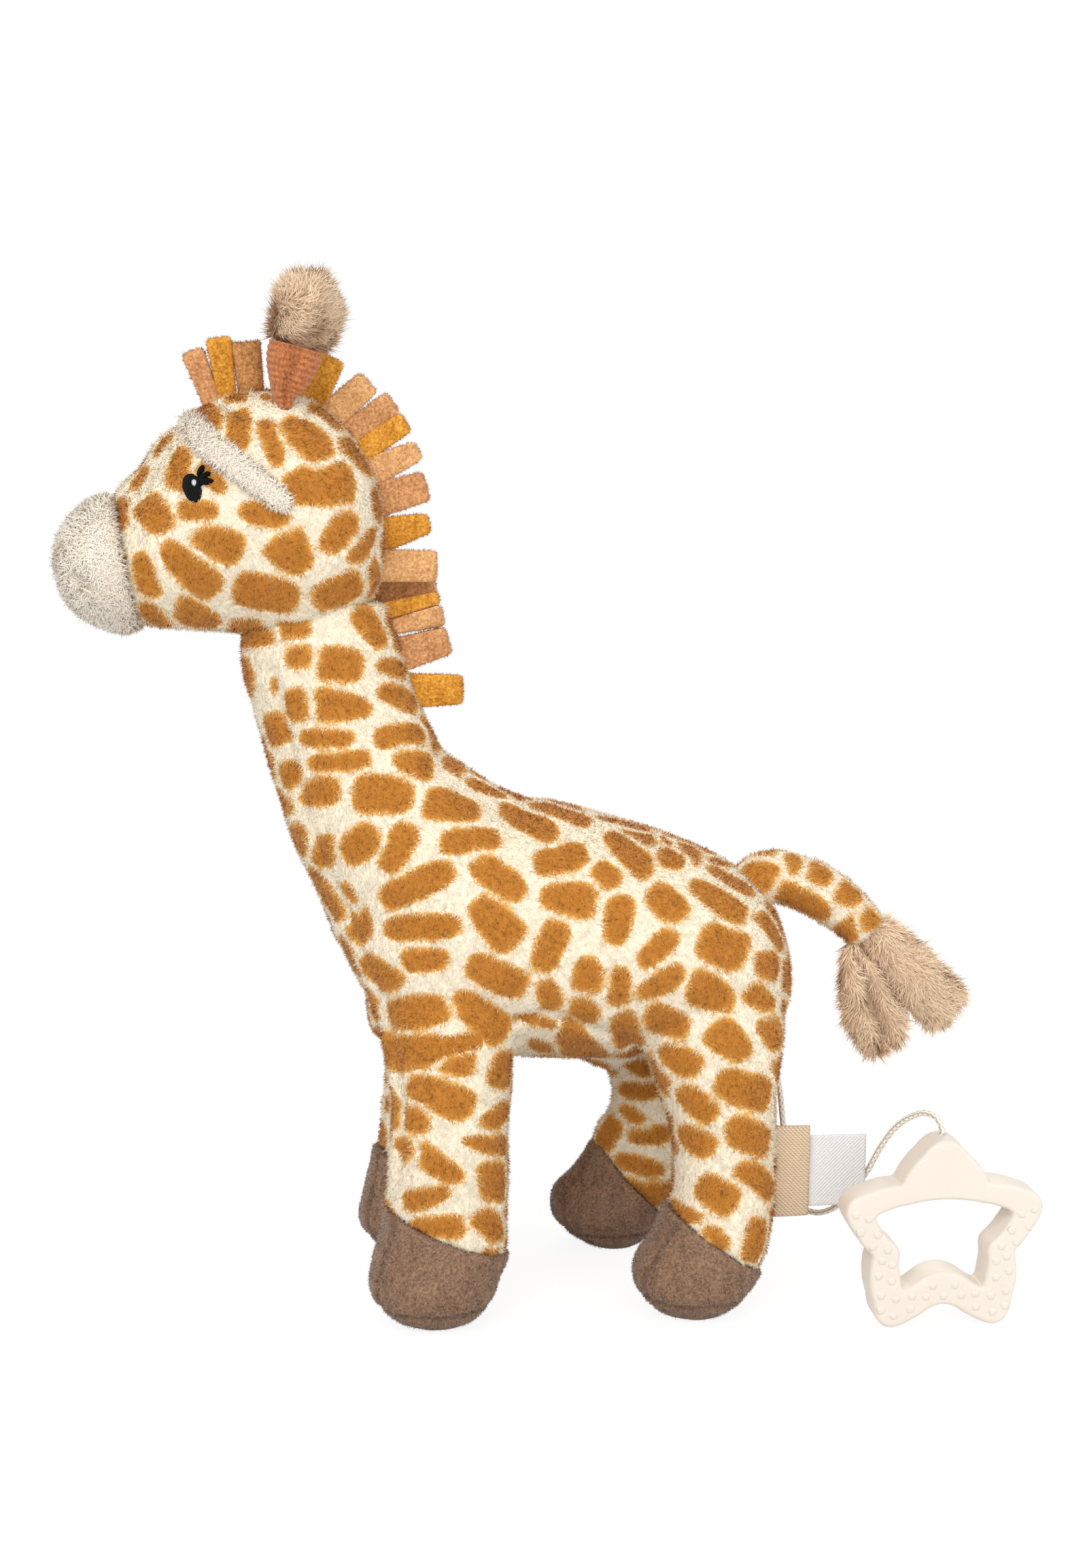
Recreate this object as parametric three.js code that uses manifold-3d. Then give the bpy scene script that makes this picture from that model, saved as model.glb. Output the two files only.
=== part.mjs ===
// Plush giraffe with a pull-string musical movement, standing on four hooves.
// Millimetres, +Z up. The toy looks along -X and its left side faces -Y.
// The origin is on the floor, under the middle of the toy and its pull star.

import * as THREE from 'three';
import { mergeVertices } from 'three/addons/utils/BufferGeometryUtils.js';
import Module from 'manifold-3d';

const wasm = await Module();
wasm.setup();

// Clearances shared by all pieces
const seamGap = 0.3;
const runningGap = 0.2;
const postGap = 0.08;
const seatGap = 0.1;
const cutOverrun = 4;
const floorCut = 0.5;
const weld = 0.0001;

// Where the middle of the toy lies in the measured layout
const middle = { x: 9.508, y: -2.406 };

// Soft forms. Each station of a form holds shares: place along x, place along z,
// half size across the spine, half size sideways, and lean sideways where there is one.
const torso = {
  place: { x: -50, y: 0, z: 108.5 }, span: { x: 134.5, y: 0, z: 79 }, girth: { across: 79, side: 82 },
  around: 20, axis: { x: 1, z: 0 },
  shares: [
    [0, 0.044, 0.05, 0.05], [0.022, 0.019, 0.2, 0.195], [0.074, -0.006, 0.355, 0.34],
    [0.164, 0.006, 0.456, 0.427], [0.297, 0.025, 0.5, 0.476], [0.461, 0, 0.487, 0.494],
    [0.632, -0.044, 0.449, 0.5], [0.781, -0.089, 0.405, 0.476], [0.877, -0.127, 0.348, 0.415],
    [0.944, -0.158, 0.26, 0.317], [0.985, -0.177, 0.152, 0.183], [1, -0.177, 0.04, 0.05],
  ],
};
const neck = {
  place: { x: 8, y: 0, z: 96 }, span: { x: -63, y: 0, z: 111 }, girth: { across: 74, side: 70 },
  around: 18,
  shares: [
    [0, 0, 0.203, 0.214], [0.159, 0.072, 0.459, 0.471], [0.365, 0.198, 0.49, 0.5],
    [0.546, 0.335, 0.44, 0.443], [0.754, 0.464, 0.376, 0.357], [0.878, 0.611, 0.323, 0.307],
    [0.965, 0.76, 0.307, 0.286], [1.013, 0.892, 0.301, 0.279], [1, 1, 0.257, 0.243],
  ],
};
const head = {
  place: { x: -115.5, y: 0, z: 229 }, span: { x: 79.3, y: 0, z: 72.6 }, girth: { across: 72.6, side: 60 },
  around: 20, axis: { x: 1, z: 0 },
  shares: [
    [0, -0.152, 0.11, 0.133], [0.044, -0.145, 0.207, 0.258], [0.088, -0.131, 0.266, 0.33],
    [0.145, -0.117, 0.307, 0.373], [0.221, -0.062, 0.369, 0.417], [0.322, -0.007, 0.434, 0.458],
    [0.448, 0.021, 0.471, 0.49], [0.586, 0.014, 0.5, 0.5], [0.712, -0.003, 0.489, 0.49],
    [0.826, -0.021, 0.427, 0.45], [0.914, -0.041, 0.331, 0.367], [0.971, -0.062, 0.207, 0.233],
    [1, -0.076, 0.069, 0.083],
  ],
};
const muzzleReach = 21.7;
const muzzleDrop = 4.4;
const muzzle = {
  place: { x: -108.2, y: 0, z: 217.8 }, span: { x: -muzzleReach, y: 0, z: -muzzleDrop },
  girth: { across: 41.8, side: 47.6 }, around: 16, axis: { x: -muzzleReach, z: -muzzleDrop },
  shares: [
    [0, 0, 0.486, 0.475], [0.23, 0.23, 0.5, 0.5], [0.46, 0.46, 0.459, 0.496],
    [0.69, 0.69, 0.378, 0.433], [0.85, 0.85, 0.282, 0.326], [0.96, 0.96, 0.156, 0.18],
    [1, 1, 0.05, 0.06],
  ],
};
const tail = {
  place: { x: 72.5, y: 0, z: 121 }, span: { x: 34.7, y: 0, z: -15 }, girth: { across: 16, side: 15.4 },
  around: 10,
  shares: [
    [0, 0, 0.5, 0.5], [0.13, -0.1, 0.49, 0.49], [0.38, 0.02, 0.5, 0.5], [0.65, 0.33, 0.49, 0.49],
    [0.88, 0.75, 0.45, 0.46], [1, 1, 0.41, 0.42],
  ],
};
const tuftBack = {
  place: { x: 104.5, y: 0.5, z: 108.5 }, span: { x: 31, y: 0, z: -31 }, girth: { across: 18.5, side: 13 },
  around: 8,
  shares: [
    [0, 0, 0.24, 0.3], [0.22, 0.16, 0.4, 0.5], [0.55, 0.52, 0.5, 0.5], [0.85, 0.84, 0.42, 0.42],
    [1, 1, 0.17, 0.2],
  ],
};
const tuftFront = {
  place: { x: 103.6, y: -0.5, z: 106 }, span: { x: 9.6, y: 0, z: -40 }, girth: { across: 14, side: 12 },
  around: 8,
  shares: [
    [0, 0, 0.24, 0.25], [-0.05, 0.2, 0.42, 0.45], [0.2, 0.5, 0.5, 0.5], [0.68, 0.82, 0.45, 0.42],
    [1, 1, 0.2, 0.22],
  ],
};

// A leg hangs from its hip. The forward reach of the toe follows the foot's own length.
const frontLeg = {
  hip: { x: -17.5, y: 21, z: 95 }, reach: 8.5, spread: 10, girth: { across: 40.6, side: 35.2 },
  around: 14, seam: { z: 27.3, lead: 5, tiltDeg: 22.4 },
  shares: [
    [-0.06, 0.095, 0.197, 0.227], [0, 0.021, 0.431, 0.426], [0.118, -0.074, 0.5, 0.483],
    [0.282, -0.179, 0.473, 0.497], [0.365, -0.337, 0.463, 0.497], [0.47, -0.526, 0.456, 0.483],
    [0.53, -0.684, 0.458, 0.483], [0.694, -0.789, 0.483, 0.5], [0.918, -0.853, 0.468, 0.5],
    [1, -0.932, 0.419, 0.449], [1, -0.979, 0.32, 0.341], [1, -1, 0.209, 0.227],
  ],
};
const hindLeg = {
  hip: { x: 57, y: 21, z: 95 }, reach: 7.5, spread: 10, girth: { across: 44, side: 36 },
  around: 14, seam: { z: 22, lead: 1, tiltDeg: 35.8 },
  shares: [
    [0, 0.105, 0.205, 0.222], [0, 0.032, 0.443, 0.431], [0.067, -0.074, 0.5, 0.486],
    [0.067, -0.158, 0.489, 0.5], [-0.093, -0.316, 0.409, 0.478], [-0.293, -0.474, 0.364, 0.444],
    [-0.173, -0.653, 0.375, 0.444], [0.2, -0.758, 0.414, 0.472], [0.76, -0.853, 0.436, 0.481],
    [0.893, -0.937, 0.373, 0.425], [0.96, -0.979, 0.284, 0.319], [1, -1, 0.193, 0.222],
  ],
};
const legs = [
  { end: 'front', side: 'left', form: frontLeg, hand: -1, swingDeg: 0, pressed: floorCut },
  { end: 'front', side: 'right', form: frontLeg, hand: 1, swingDeg: 1.2, pressed: floorCut },
  { end: 'hind', side: 'left', form: hindLeg, hand: -1, swingDeg: 0, pressed: floorCut },
  { end: 'hind', side: 'right', form: hindLeg, hand: 1, swingDeg: 12.3, pressed: 1.4 },
];

// Horns: a ribbed cloth stem, pinched at its foot, under a ball of long pile
const hornSpread = 14;
const hornStem = {
  place: { x: -64.4, y: 0, z: 257.5 }, span: { x: 3.4, y: 0, z: 19.5 }, girth: { across: 15.6, side: 13.6 },
  around: 10,
  shares: [
    [0, 0, 0.14, 0.18], [0, 0.33, 0.24, 0.28], [0.4, 0.6, 0.42, 0.42], [0.78, 0.86, 0.5, 0.5],
    [1, 1, 0.5, 0.5],
  ],
};
const hornTip = {
  place: { x: -61, y: 0, z: 277.3 }, span: { x: 5.6, y: 0, z: 22.6 }, girth: { across: 23.6, side: 21 },
  around: 12,
  shares: [
    [0, 0, 0.3, 0.31], [0.08, 0.14, 0.44, 0.45], [0.35, 0.4, 0.5, 0.5], [0.66, 0.66, 0.46, 0.46],
    [0.9, 0.88, 0.3, 0.3], [1, 1, 0.1, 0.1],
  ],
};
const rightHornShift = { x: 3, z: -3 };

// Mane loops. Shares of the head's length and height for the root, the turn of the loop as a
// share of a full turn, its length, its width at the tip and root, and its offset sideways.
const ribbon = { length: 14, width: 8, thickness: 1.2, bulge: 2.4, root: 4 };
const mustard = 0xd18f26;
const apricot = 0xd8a066;
const rose = 0xc28a61;
const tan = 0xb9803f;
const loopShares = [
  [0.375, 0.485, 0.307, 0.93, 0.75, 0.55, 0], [0.436, 0.499, 0.271, 1.07, 0.85, 0.55, 0],
  [0.522, 0.511, 0.265, 0.94, 0.95, 0.85, 0], [0.745, 0.478, 0.177, 0.88, 0.88, 0.85, 0],
  [0.822, 0.421, 0.116, 0.91, 0.86, 0.85, 0], [0.883, 0.348, 0.098, 1.01, 0.8, 0.7, 0],
  [0.931, 0.281, 0.093, 0.97, 0.75, 0.7, 0], [0.968, 0.198, 0.068, 0.94, 0.64, 0.85, 0],
  [0.987, 0.084, 0.043, 0.94, 1, 1, 0], [0.994, -0.055, 0.037, 0.94, 0.65, 1, 0],
  [0.992, -0.18, -0.003, 1.07, 1.05, 0.95, -0.12], [1.003, -0.282, 0.019, 1.01, 0.7, 0.7, 0.66],
  [1.016, -0.353, 0.039, 1, 0.42, 0.5, -0.06], [1.029, -0.419, 0.034, 1.01, 0.78, 0.48, 0],
  [1.059, -0.53, 0.045, 0.97, 0.95, 1, 0], [1.107, -0.678, 0.001, 0.95, 1, 1, 0],
];
const loopColours = [
  rose, mustard, tan, mustard, apricot, rose, mustard, apricot,
  rose, mustard, apricot, rose, mustard, apricot, rose, mustard,
];

// Brow strips and embroidered eyes, as shares of the head's length and height
const brow = { width: 7.4, rise: 2.4, sink: 1, around: 8 };
const browShares = [
  [0.3, 0.385, 0.3], [0.34, 0.325, 0.5], [0.4, 0.25, 0.5], [0.475, 0.19, 0.5], [0.55, 0.13, 0.48],
  [0.615, 0.075, 0.4], [0.65, 0.03, 0.15],
];
const eye = { height: 8, length: 5.4, rise: 0.9, place: { xShare: 0.325, zShare: 0.127 } };

// Labels sewn into the rear seam of the left hind leg
const wovenLabel = { reach: 8.5, height: 27, thickness: 1.2, z: 40.6, y: -28 };
const careLabel = { reach: 26, height: 21.4, thickness: 0.4, z: 39.4 };
const labelRoot = { x: 75.4, sewn: 4 };

// Pull star
const star = { radius: 31.6, thickness: 12, x: 118.84, y: -45, lift: 0.3, edge: 1.4 };
// Corners of the right half from the top down: across, up and rounding, as shares of the radius
const starCornerShares = [
  [0, 1.103, 0.67], [0.405, 0.544, 0.04], [1.03, 0.412, 0.326], [0.654, -0.087, 0.04],
  [0.62, -0.891, 0.326], [0, -0.513, 0.205],
];
const starHoleShares = [
  [0, 0.491, 0.464], [0.806, 0.285, 0.362], [0.475, -0.094, 0.04], [0.449, -0.62, 0.308],
  [0, -0.277, 0.425],
];
const cornerRoomShare = 0.48;
const starBore = { radius: 1.1, depth: 5 };
const starNubs = { radius: 1, rise: 0.5 };
// Nubs of the right half: across and up, as shares of the radius
const nubShares = [
  [0.873, 0.313], [0.746, 0.27], [0.822, 0.142], [0.655, 0.11], [0.701, -0.003], [0.558, -0.042],
  [0.61, -0.148], [0.511, -0.193], [0.64, -0.296], [0.511, -0.354], [0.611, -0.493], [0.467, -0.536],
  [0.608, -0.638], [0.488, -0.698], [0.326, -0.466], [0.322, -0.625], [0.189, -0.5], [0.129, -0.374],
  [0, -0.495],
];

// Pull cord
const cord = { diameter: 1.5, sides: 8, steps: 64 };
const eyelet = { radius: 4, bore: 1.3, flange: 1.4, stem: 2.7, length: 7 };
const cordExit = { x: 70.6, y: 0, z: 73.6 };
const cordRoute = [
  [71.2, 0, 73.3], [74, 0, 72], [77, -0.2, 69.2], [79.4, -0.8, 64.6], [80.8, -2, 58], [81.6, -3.5, 49],
  [82.2, -5.2, 40], [82.8, -6.6, 32], [84.2, -8.2, 26], [86.9, -11, 23.2], [90, -14.2, 22.8],
  [93.6, -17, 24.6], [96.6, -19.6, 28], [99.6, -22.4, 33], [102.4, -24.6, 38.4], [105.4, -27.6, 46.4],
  [108.6, -31, 53.6], [112, -35.6, 58.8], [115.3, -40, 61.3], [117.7, -43.6, 60.6], [118.8, -44.9, 58.5],
];

// Musical movement in its two-part case, laid out on its own axis across the toy
const movement = { x: 10, z: 106 };
const caseShell = { room: 0.93, wall: 1.8, ledge: 2, floor: 1.4, cover: 1.8, lip: 2.2, lipDepth: 2.5 };
const casePocketGap = 0.4;
const plate = { thickness: 1.4, underside: 10 };
const gearTooth = { module: 0.6, addendumShare: 0.85, dedendumShare: 1.2, pressureDeg: 20, backlash: 0.22 };
const spoolPost = { x: -8, y: 4, radius: 1.3 };
const spool = { radius: 10.3, hub: 6.4, wall: 0.9, base: 3, height: 6.5, flange: 0.9, chamber: 5.4 };
const windingRadius = 8.6;
const ratchet = { radius: 4.6, root: 3.8, teeth: 12, height: 1.1 };
const click = { inner: 4.9, outer: 8.4, width: 1.8, thickness: 1.1 };
const driveGear = { teeth: 32, base: -0.3, height: 1.6 };
const drumPinion = { teeth: 12, height: 1.8 };
const drumGear = { teeth: 26, height: 1.6 };
const drum = {
  directionDeg: -11.6, radius: 6.2, height: 7.2, post: 1.1, pinReach: 0.8, pinSize: 0.5, pins: 22,
};
const comb = {
  teeth: 12, toothLength: 8.2, trebleShare: 0.3, root: 4, thickness: 0.8, slitShare: 0.3, tipGap: 0.3,
};
const combLug = { thickness: 2.4 };
const combScrew = { radius: 0.8, head: 1.4, headHeight: 0.9, spread: 4.4 };
const governor = { teeth: 8, directionDeg: 60, post: 0.7, reach: 4.4, vane: 0.6, height: 7.6, base: 0.2 };
const governorPinionHeight = 1.3;
const mainspring = { inner: 2.3, thickness: 0.5, height: 3.6, turns: 3 };
const caseScrews = { count: 2, inset: 0.8, radius: 0.9, head: 1.8, headHeight: 1.2 };

// Finishes
const finishes = {
  plush: { color: 0xe9c896, roughness: 0.95 }, pile: { color: 0xf2e9da, roughness: 0.95 },
  beige: { color: 0xcbb494, roughness: 0.95 }, rust: { color: 0xb86b45, roughness: 0.9 },
  hoof: { color: 0x6b5a4c, roughness: 0.92 }, thread: { color: 0x14110f, roughness: 0.6 },
  woven: { color: 0xc4ab82, roughness: 0.85 }, satin: { color: 0xf6f4ef, roughness: 0.4 },
  silicone: { color: 0xf8e6d4, roughness: 0.45 }, braid: { color: 0xf4f2ee, roughness: 0.8 },
  plastic: { color: 0xe8e6e0, roughness: 0.5 }, nylon: { color: 0xf1eee2, roughness: 0.4 },
  brass: { color: 0xc9a350, roughness: 0.3, metalness: 1 },
  steel: { color: 0xb9bcc0, roughness: 0.3, metalness: 1 },
};
const materialOf = (finish) => new THREE.MeshStandardMaterial({ metalness: 0, ...finish });

// Solids

const degrees = Math.PI / 180;

function indexed(geometry) {
  const bare = geometry.clone();
  bare.deleteAttribute('uv');
  bare.deleteAttribute('normal');
  return mergeVertices(bare, weld);
}

function signedVolume(geometry) {
  const p = geometry.attributes.position;
  const [a, b, c] = [new THREE.Vector3(), new THREE.Vector3(), new THREE.Vector3()];
  let six = 0;
  for (let i = 0; i < geometry.index.count; i += 3) {
    a.fromBufferAttribute(p, geometry.index.getX(i));
    b.fromBufferAttribute(p, geometry.index.getX(i + 1));
    c.fromBufferAttribute(p, geometry.index.getX(i + 2));
    six += a.dot(b.cross(c));
  }
  return six;
}

function solid(geometry) {
  const shape = indexed(geometry);
  const triVerts = Uint32Array.from(shape.index.array);
  if (signedVolume(shape) < 0) {
    for (let i = 0; i < triVerts.length; i += 3) {
      [triVerts[i], triVerts[i + 1]] = [triVerts[i + 1], triVerts[i]];
    }
  }
  return new wasm.Manifold(new wasm.Mesh({
    numProp: 3, vertProperties: Float32Array.from(shape.attributes.position.array), triVerts,
  }));
}

function geometryOf(body) {
  const mesh = body.getMesh();
  const geometry = new THREE.BufferGeometry();
  const points = new Float32Array(mesh.numVert * 3);
  for (let i = 0; i < mesh.numVert; i += 1) {
    for (let k = 0; k < 3; k += 1) points[3 * i + k] = mesh.vertProperties[mesh.numProp * i + k];
  }
  geometry.setAttribute('position', new THREE.BufferAttribute(points, 3));
  geometry.setIndex(new THREE.BufferAttribute(Uint32Array.from(mesh.triVerts), 1));
  return geometry;
}

// A closed skin over rings of points, with a fan at each end
function skin(rings) {
  const around = rings[0].length;
  const points = rings.flat();
  const faces = [];
  for (let i = 0; i < rings.length - 1; i += 1) {
    for (let k = 0; k < around; k += 1) {
      const [a, b] = [i * around + k, i * around + (k + 1) % around];
      faces.push(a, b, b + around, a, b + around, a + around);
    }
  }
  const last = (rings.length - 1) * around;
  const middleOf = (ring) => ring.reduce((sum, p) => sum.add(p), new THREE.Vector3()).divideScalar(around);
  points.push(middleOf(rings[0]), middleOf(rings[rings.length - 1]));
  for (let k = 0; k < around; k += 1) {
    const next = (k + 1) % around;
    faces.push(next, k, points.length - 2, last + k, last + next, points.length - 1);
  }
  const geometry = new THREE.BufferGeometry().setFromPoints(points);
  geometry.setIndex(faces);
  return geometry;
}

function ringOf({ centre, across, side, a, s, around }) {
  return Array.from({ length: around }, (_, k) => {
    const turn = 2 * Math.PI * k / around;
    return centre.clone()
      .addScaledVector(across, a * Math.cos(turn)).addScaledVector(side, s * Math.sin(turn));
  });
}

// A stuffed form swept along its spine; grow adds the seam gap for a cut
function plush(form, grow = 0) {
  const { place, span, girth, around } = form;
  const centres = form.shares.map(([x, z, , , y = 0]) => new THREE.Vector3(
    place.x + x * span.x, place.y + y * span.y, place.z + z * span.z));
  const side = new THREE.Vector3(0, 1, 0);
  const rings = form.shares.map(([, , acrossShare, sideShare], i) => {
    const from = centres[Math.max(i - 1, 0)];
    const to = centres[Math.min(i + 1, centres.length - 1)];
    const along = form.axis ? new THREE.Vector3(form.axis.x, 0, form.axis.z) : to.clone().sub(from).setY(0);
    const across = new THREE.Vector3().crossVectors(side, along.normalize());
    const end = i === 0 ? -grow : Number(i === centres.length - 1) * grow;
    return ringOf({
      centre: centres[i].clone().addScaledVector(along, end), across, side,
      a: girth.across * acrossShare + grow, s: girth.side * sideShare + grow, around,
    });
  });
  return solid(skin(rings));
}

function turned(body, axis, angle, pivot = new THREE.Vector3()) {
  const matrix = new THREE.Matrix4().makeTranslation(pivot.x, pivot.y, pivot.z)
    .multiply(new THREE.Matrix4().makeRotationAxis(axis, angle))
    .multiply(new THREE.Matrix4().makeTranslation(-pivot.x, -pivot.y, -pivot.z));
  return solid(geometryOf(body).applyMatrix4(matrix));
}

const moved = (body, x, y, z) => solid(geometryOf(body).translate(x, y, z));
const joined = (bodies) => bodies.reduce((sum, body) => sum.add(body));
const cut = (body, ...tools) => tools.reduce((rest, tool) => rest.subtract(tool), body);

// The head's surface at a place in its side view
function headAt(x, z) {
  const rows = head.shares.map(([xs, zs, a, s]) => [
    head.place.x + xs * head.span.x, head.place.z + zs * head.span.z,
    a * head.girth.across, s * head.girth.side]);
  const i = Math.min(rows.findIndex(([rx]) => rx > x), rows.length - 1);
  const t = (x - rows[i - 1][0]) / (rows[i][0] - rows[i - 1][0]);
  const [, zc, a, s] = rows[i].map((value, k) => rows[i - 1][k] + (value - rows[i - 1][k]) * t);
  return s * Math.sqrt(Math.max(0, 1 - ((z - zc) / a) ** 2));
}

const headX = (share) => head.place.x + share * head.span.x;
const headZ = (share) => head.place.z + share * head.span.z;

// Legs and hooves

const legForm = ({ form, hand }) => ({
  place: { x: form.hip.x, y: hand * form.hip.y, z: form.hip.z - floorCut },
  span: { x: -form.reach, y: -hand * form.spread, z: form.hip.z },
  girth: form.girth, around: form.around, axis: { x: 0, z: -1 },
  shares: form.shares.map(([x, z, a, s]) => [x, z, a, s, z]),
});

function halfSpace({ form, hand }, above, gap) {
  const size = 2 * form.hip.z;
  const box = new THREE.BoxGeometry(size, size, size);
  box.translate(0, 0, (above ? 1 : -1) * (size / 2 + gap / 2));
  box.rotateY(form.seam.tiltDeg * degrees);
  box.translate(form.hip.x - form.seam.lead, hand * form.hip.y, form.seam.z);
  return solid(box);
}

function legPieces(leg) {
  const side = new THREE.Vector3(0, 1, 0);
  const hip = new THREE.Vector3(leg.form.hip.x, 0, leg.form.hip.z);
  const swung = (body) => turned(body, side, leg.swingDeg * degrees, hip);
  const whole = plush(legForm(leg));
  const lowest = new THREE.Box3().setFromBufferAttribute(
    geometryOf(swung(whole)).attributes.position).min.z;
  const drop = -leg.pressed - lowest;
  const below = new THREE.BoxGeometry(leg.form.hip.z, leg.form.hip.z, cutOverrun)
    .translate(leg.form.hip.x - leg.form.reach, leg.hand * leg.form.hip.y, -cutOverrun / 2);
  const shank = moved(swung(whole.intersect(halfSpace(leg, true, seamGap))), 0, 0, drop);
  const hoof = moved(swung(whole.intersect(halfSpace(leg, false, seamGap))), 0, 0, drop);
  const grown = moved(swung(plush(legForm(leg), seamGap)), 0, 0, drop);
  return { shank, hoof: cut(hoof, solid(below)), whole: grown };
}

// Mane loops: a folded ribbon with its ends in the seam and its fold outward

function maneLoop([xShare, zShare, turnShare, lengthShare, tipShare, rootShare, sideShare]) {
  const length = ribbon.length * lengthShare;
  const outline = new THREE.Shape();
  const round = length - ribbon.bulge;
  outline.moveTo(-ribbon.root, -ribbon.thickness);
  outline.quadraticCurveTo(round / 2, -ribbon.thickness, round, -ribbon.bulge);
  outline.absarc(round, 0, ribbon.bulge, -Math.PI / 2, Math.PI / 2, false);
  outline.quadraticCurveTo(round / 2, ribbon.thickness, -ribbon.root, ribbon.thickness);
  outline.closePath();
  const inside = ribbon.bulge - ribbon.thickness;
  const opening = new THREE.Path();
  opening.moveTo(round / 3, 0);
  opening.lineTo(round, inside);
  opening.absarc(round, 0, inside, Math.PI / 2, -Math.PI / 2, true);
  opening.closePath();
  outline.holes.push(opening);
  const geometry = new THREE.ExtrudeGeometry(outline, {
    depth: ribbon.width, bevelEnabled: false, curveSegments: 4, steps: 1,
  }).translate(0, 0, -ribbon.width / 2);
  const p = geometry.attributes.position;
  for (let i = 0; i < p.count; i += 1) {
    const along = THREE.MathUtils.clamp(p.getX(i) / length, 0, 1);
    p.setZ(i, p.getZ(i) * THREE.MathUtils.lerp(rootShare, tipShare, along));
  }
  const turn = 2 * Math.PI * turnShare;
  const out = new THREE.Vector3(Math.cos(turn), 0, Math.sin(turn));
  const side = new THREE.Vector3(0, 1, 0);
  const basis = new THREE.Matrix4().makeBasis(out, side, new THREE.Vector3().crossVectors(out, side));
  basis.setPosition(headX(xShare), sideShare * ribbon.width, headZ(zShare));
  return solid(geometry.applyMatrix4(basis));
}

// Brow strips and eyes lie on the head's surface

function browStrip(hand) {
  const track = browShares.map(([x, z]) => new THREE.Vector3(
    headX(x), hand * headAt(headX(x), headZ(z)), headZ(z)));
  const heart = new THREE.Vector3(headX(browShares[3][0]), 0, head.place.z);
  const rings = track.map((centre, i) => {
    const along = track[Math.min(i + 1, track.length - 1)].clone().sub(track[Math.max(i - 1, 0)]).normalize();
    const out = centre.clone().sub(heart).projectOnPlane(along).normalize();
    const across = new THREE.Vector3().crossVectors(along, out);
    const half = browShares[i][2];
    return ringOf({
      centre: centre.clone().addScaledVector(out, brow.rise - brow.sink), across, side: out,
      a: brow.width * half, s: 2 * brow.rise * half, around: brow.around,
    });
  });
  return solid(skin(rings));
}

function eyePatch(hand) {
  const [x, z] = [headX(eye.place.xShare), headZ(eye.place.zShare)];
  const slopeX = (headAt(x + eye.length, z) - headAt(x - eye.length, z)) / (2 * eye.length);
  const slopeZ = (headAt(x, z + eye.length) - headAt(x, z - eye.length)) / (2 * eye.length);
  const outward = new THREE.Vector3(-slopeX, hand, -slopeZ).normalize();
  const spin = new THREE.Quaternion().setFromUnitVectors(new THREE.Vector3(0, 0, 1), outward);
  const patch = new THREE.SphereGeometry(1, 12, 8).scale(eye.length / 2, eye.height / 2, 2 * eye.rise);
  return solid(patch.applyQuaternion(spin).translate(x, hand * headAt(x, z), z));
}

// Labels

function labelSheet({ reach, height, thickness, z }, y) {
  const sheet = new THREE.BoxGeometry(reach + labelRoot.sewn, thickness, height);
  sheet.translate(labelRoot.x + (reach - labelRoot.sewn) / 2, y, z);
  return solid(sheet);
}

// Pull star

function roundedOutline(corners, roundOf, path) {
  const count = corners.length;
  corners.forEach((corner, i) => {
    const before = corners[(i + count - 1) % count].clone().sub(corner);
    const after = corners[(i + 1) % count].clone().sub(corner);
    const room = Math.min(before.length(), after.length()) * cornerRoomShare;
    const trim = Math.min(roundOf(i), room);
    const start = corner.clone().add(before.setLength(trim));
    const end = corner.clone().add(after.setLength(trim));
    if (i === 0) path.moveTo(start.x, start.y);
    else path.lineTo(start.x, start.y);
    path.quadraticCurveTo(corner.x, corner.y, end.x, end.y);
  });
  path.closePath();
  return path;
}

// Both halves of an outline whose right half is given, first and last corners on the centre line
function starOutline(half, path) {
  const left = half.map(([across, up, round]) => [-across, up, round]);
  const whole = [...left, ...half.slice(1, -1).reverse()];
  const corners = whole.map(([across, up]) => new THREE.Vector2(across, up).multiplyScalar(star.radius));
  return roundedOutline(corners, (i) => star.radius * whole[i][2], path);
}

function starBody() {
  const outline = starOutline(starCornerShares, new THREE.Shape());
  outline.holes.push(starOutline(starHoleShares, new THREE.Path()));
  const slab = new THREE.ExtrudeGeometry(outline, {
    depth: star.thickness - 2 * star.edge, curveSegments: 3, steps: 1,
    bevelThickness: star.edge, bevelSize: star.edge, bevelSegments: 2,
  });
  slab.translate(0, 0, star.edge - star.thickness / 2).rotateX(Math.PI / 2);
  const bottom = new THREE.Box3().setFromBufferAttribute(slab.attributes.position).min.z;
  const centreZ = star.lift - bottom;
  const body = moved(solid(slab), star.x, star.y, centreZ);
  const top = new THREE.Box3().setFromBufferAttribute(geometryOf(body).attributes.position).max.z;
  const bore = new THREE.CylinderGeometry(starBore.radius, starBore.radius, 2 * starBore.depth, cord.sides);
  bore.rotateX(Math.PI / 2).translate(star.x, star.y, top);
  return { body: cut(body, solid(bore)), centreZ, top };
}

// A raised nub on both faces, in rows along the two lower arms and the side arms
function withNubs({ body, centreZ }) {
  const nubs = nubShares.flatMap(([across, up]) => (across ? [-1, 1] : [1]).map((side) => {
    const nub = new THREE.CylinderGeometry(
      starNubs.radius / 2, starNubs.radius, star.thickness + 2 * starNubs.rise, 4);
    nub.translate(star.x + side * across * star.radius, star.y, centreZ + up * star.radius);
    return solid(nub);
  }));
  return body.add(joined(nubs));
}

// Cords

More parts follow.
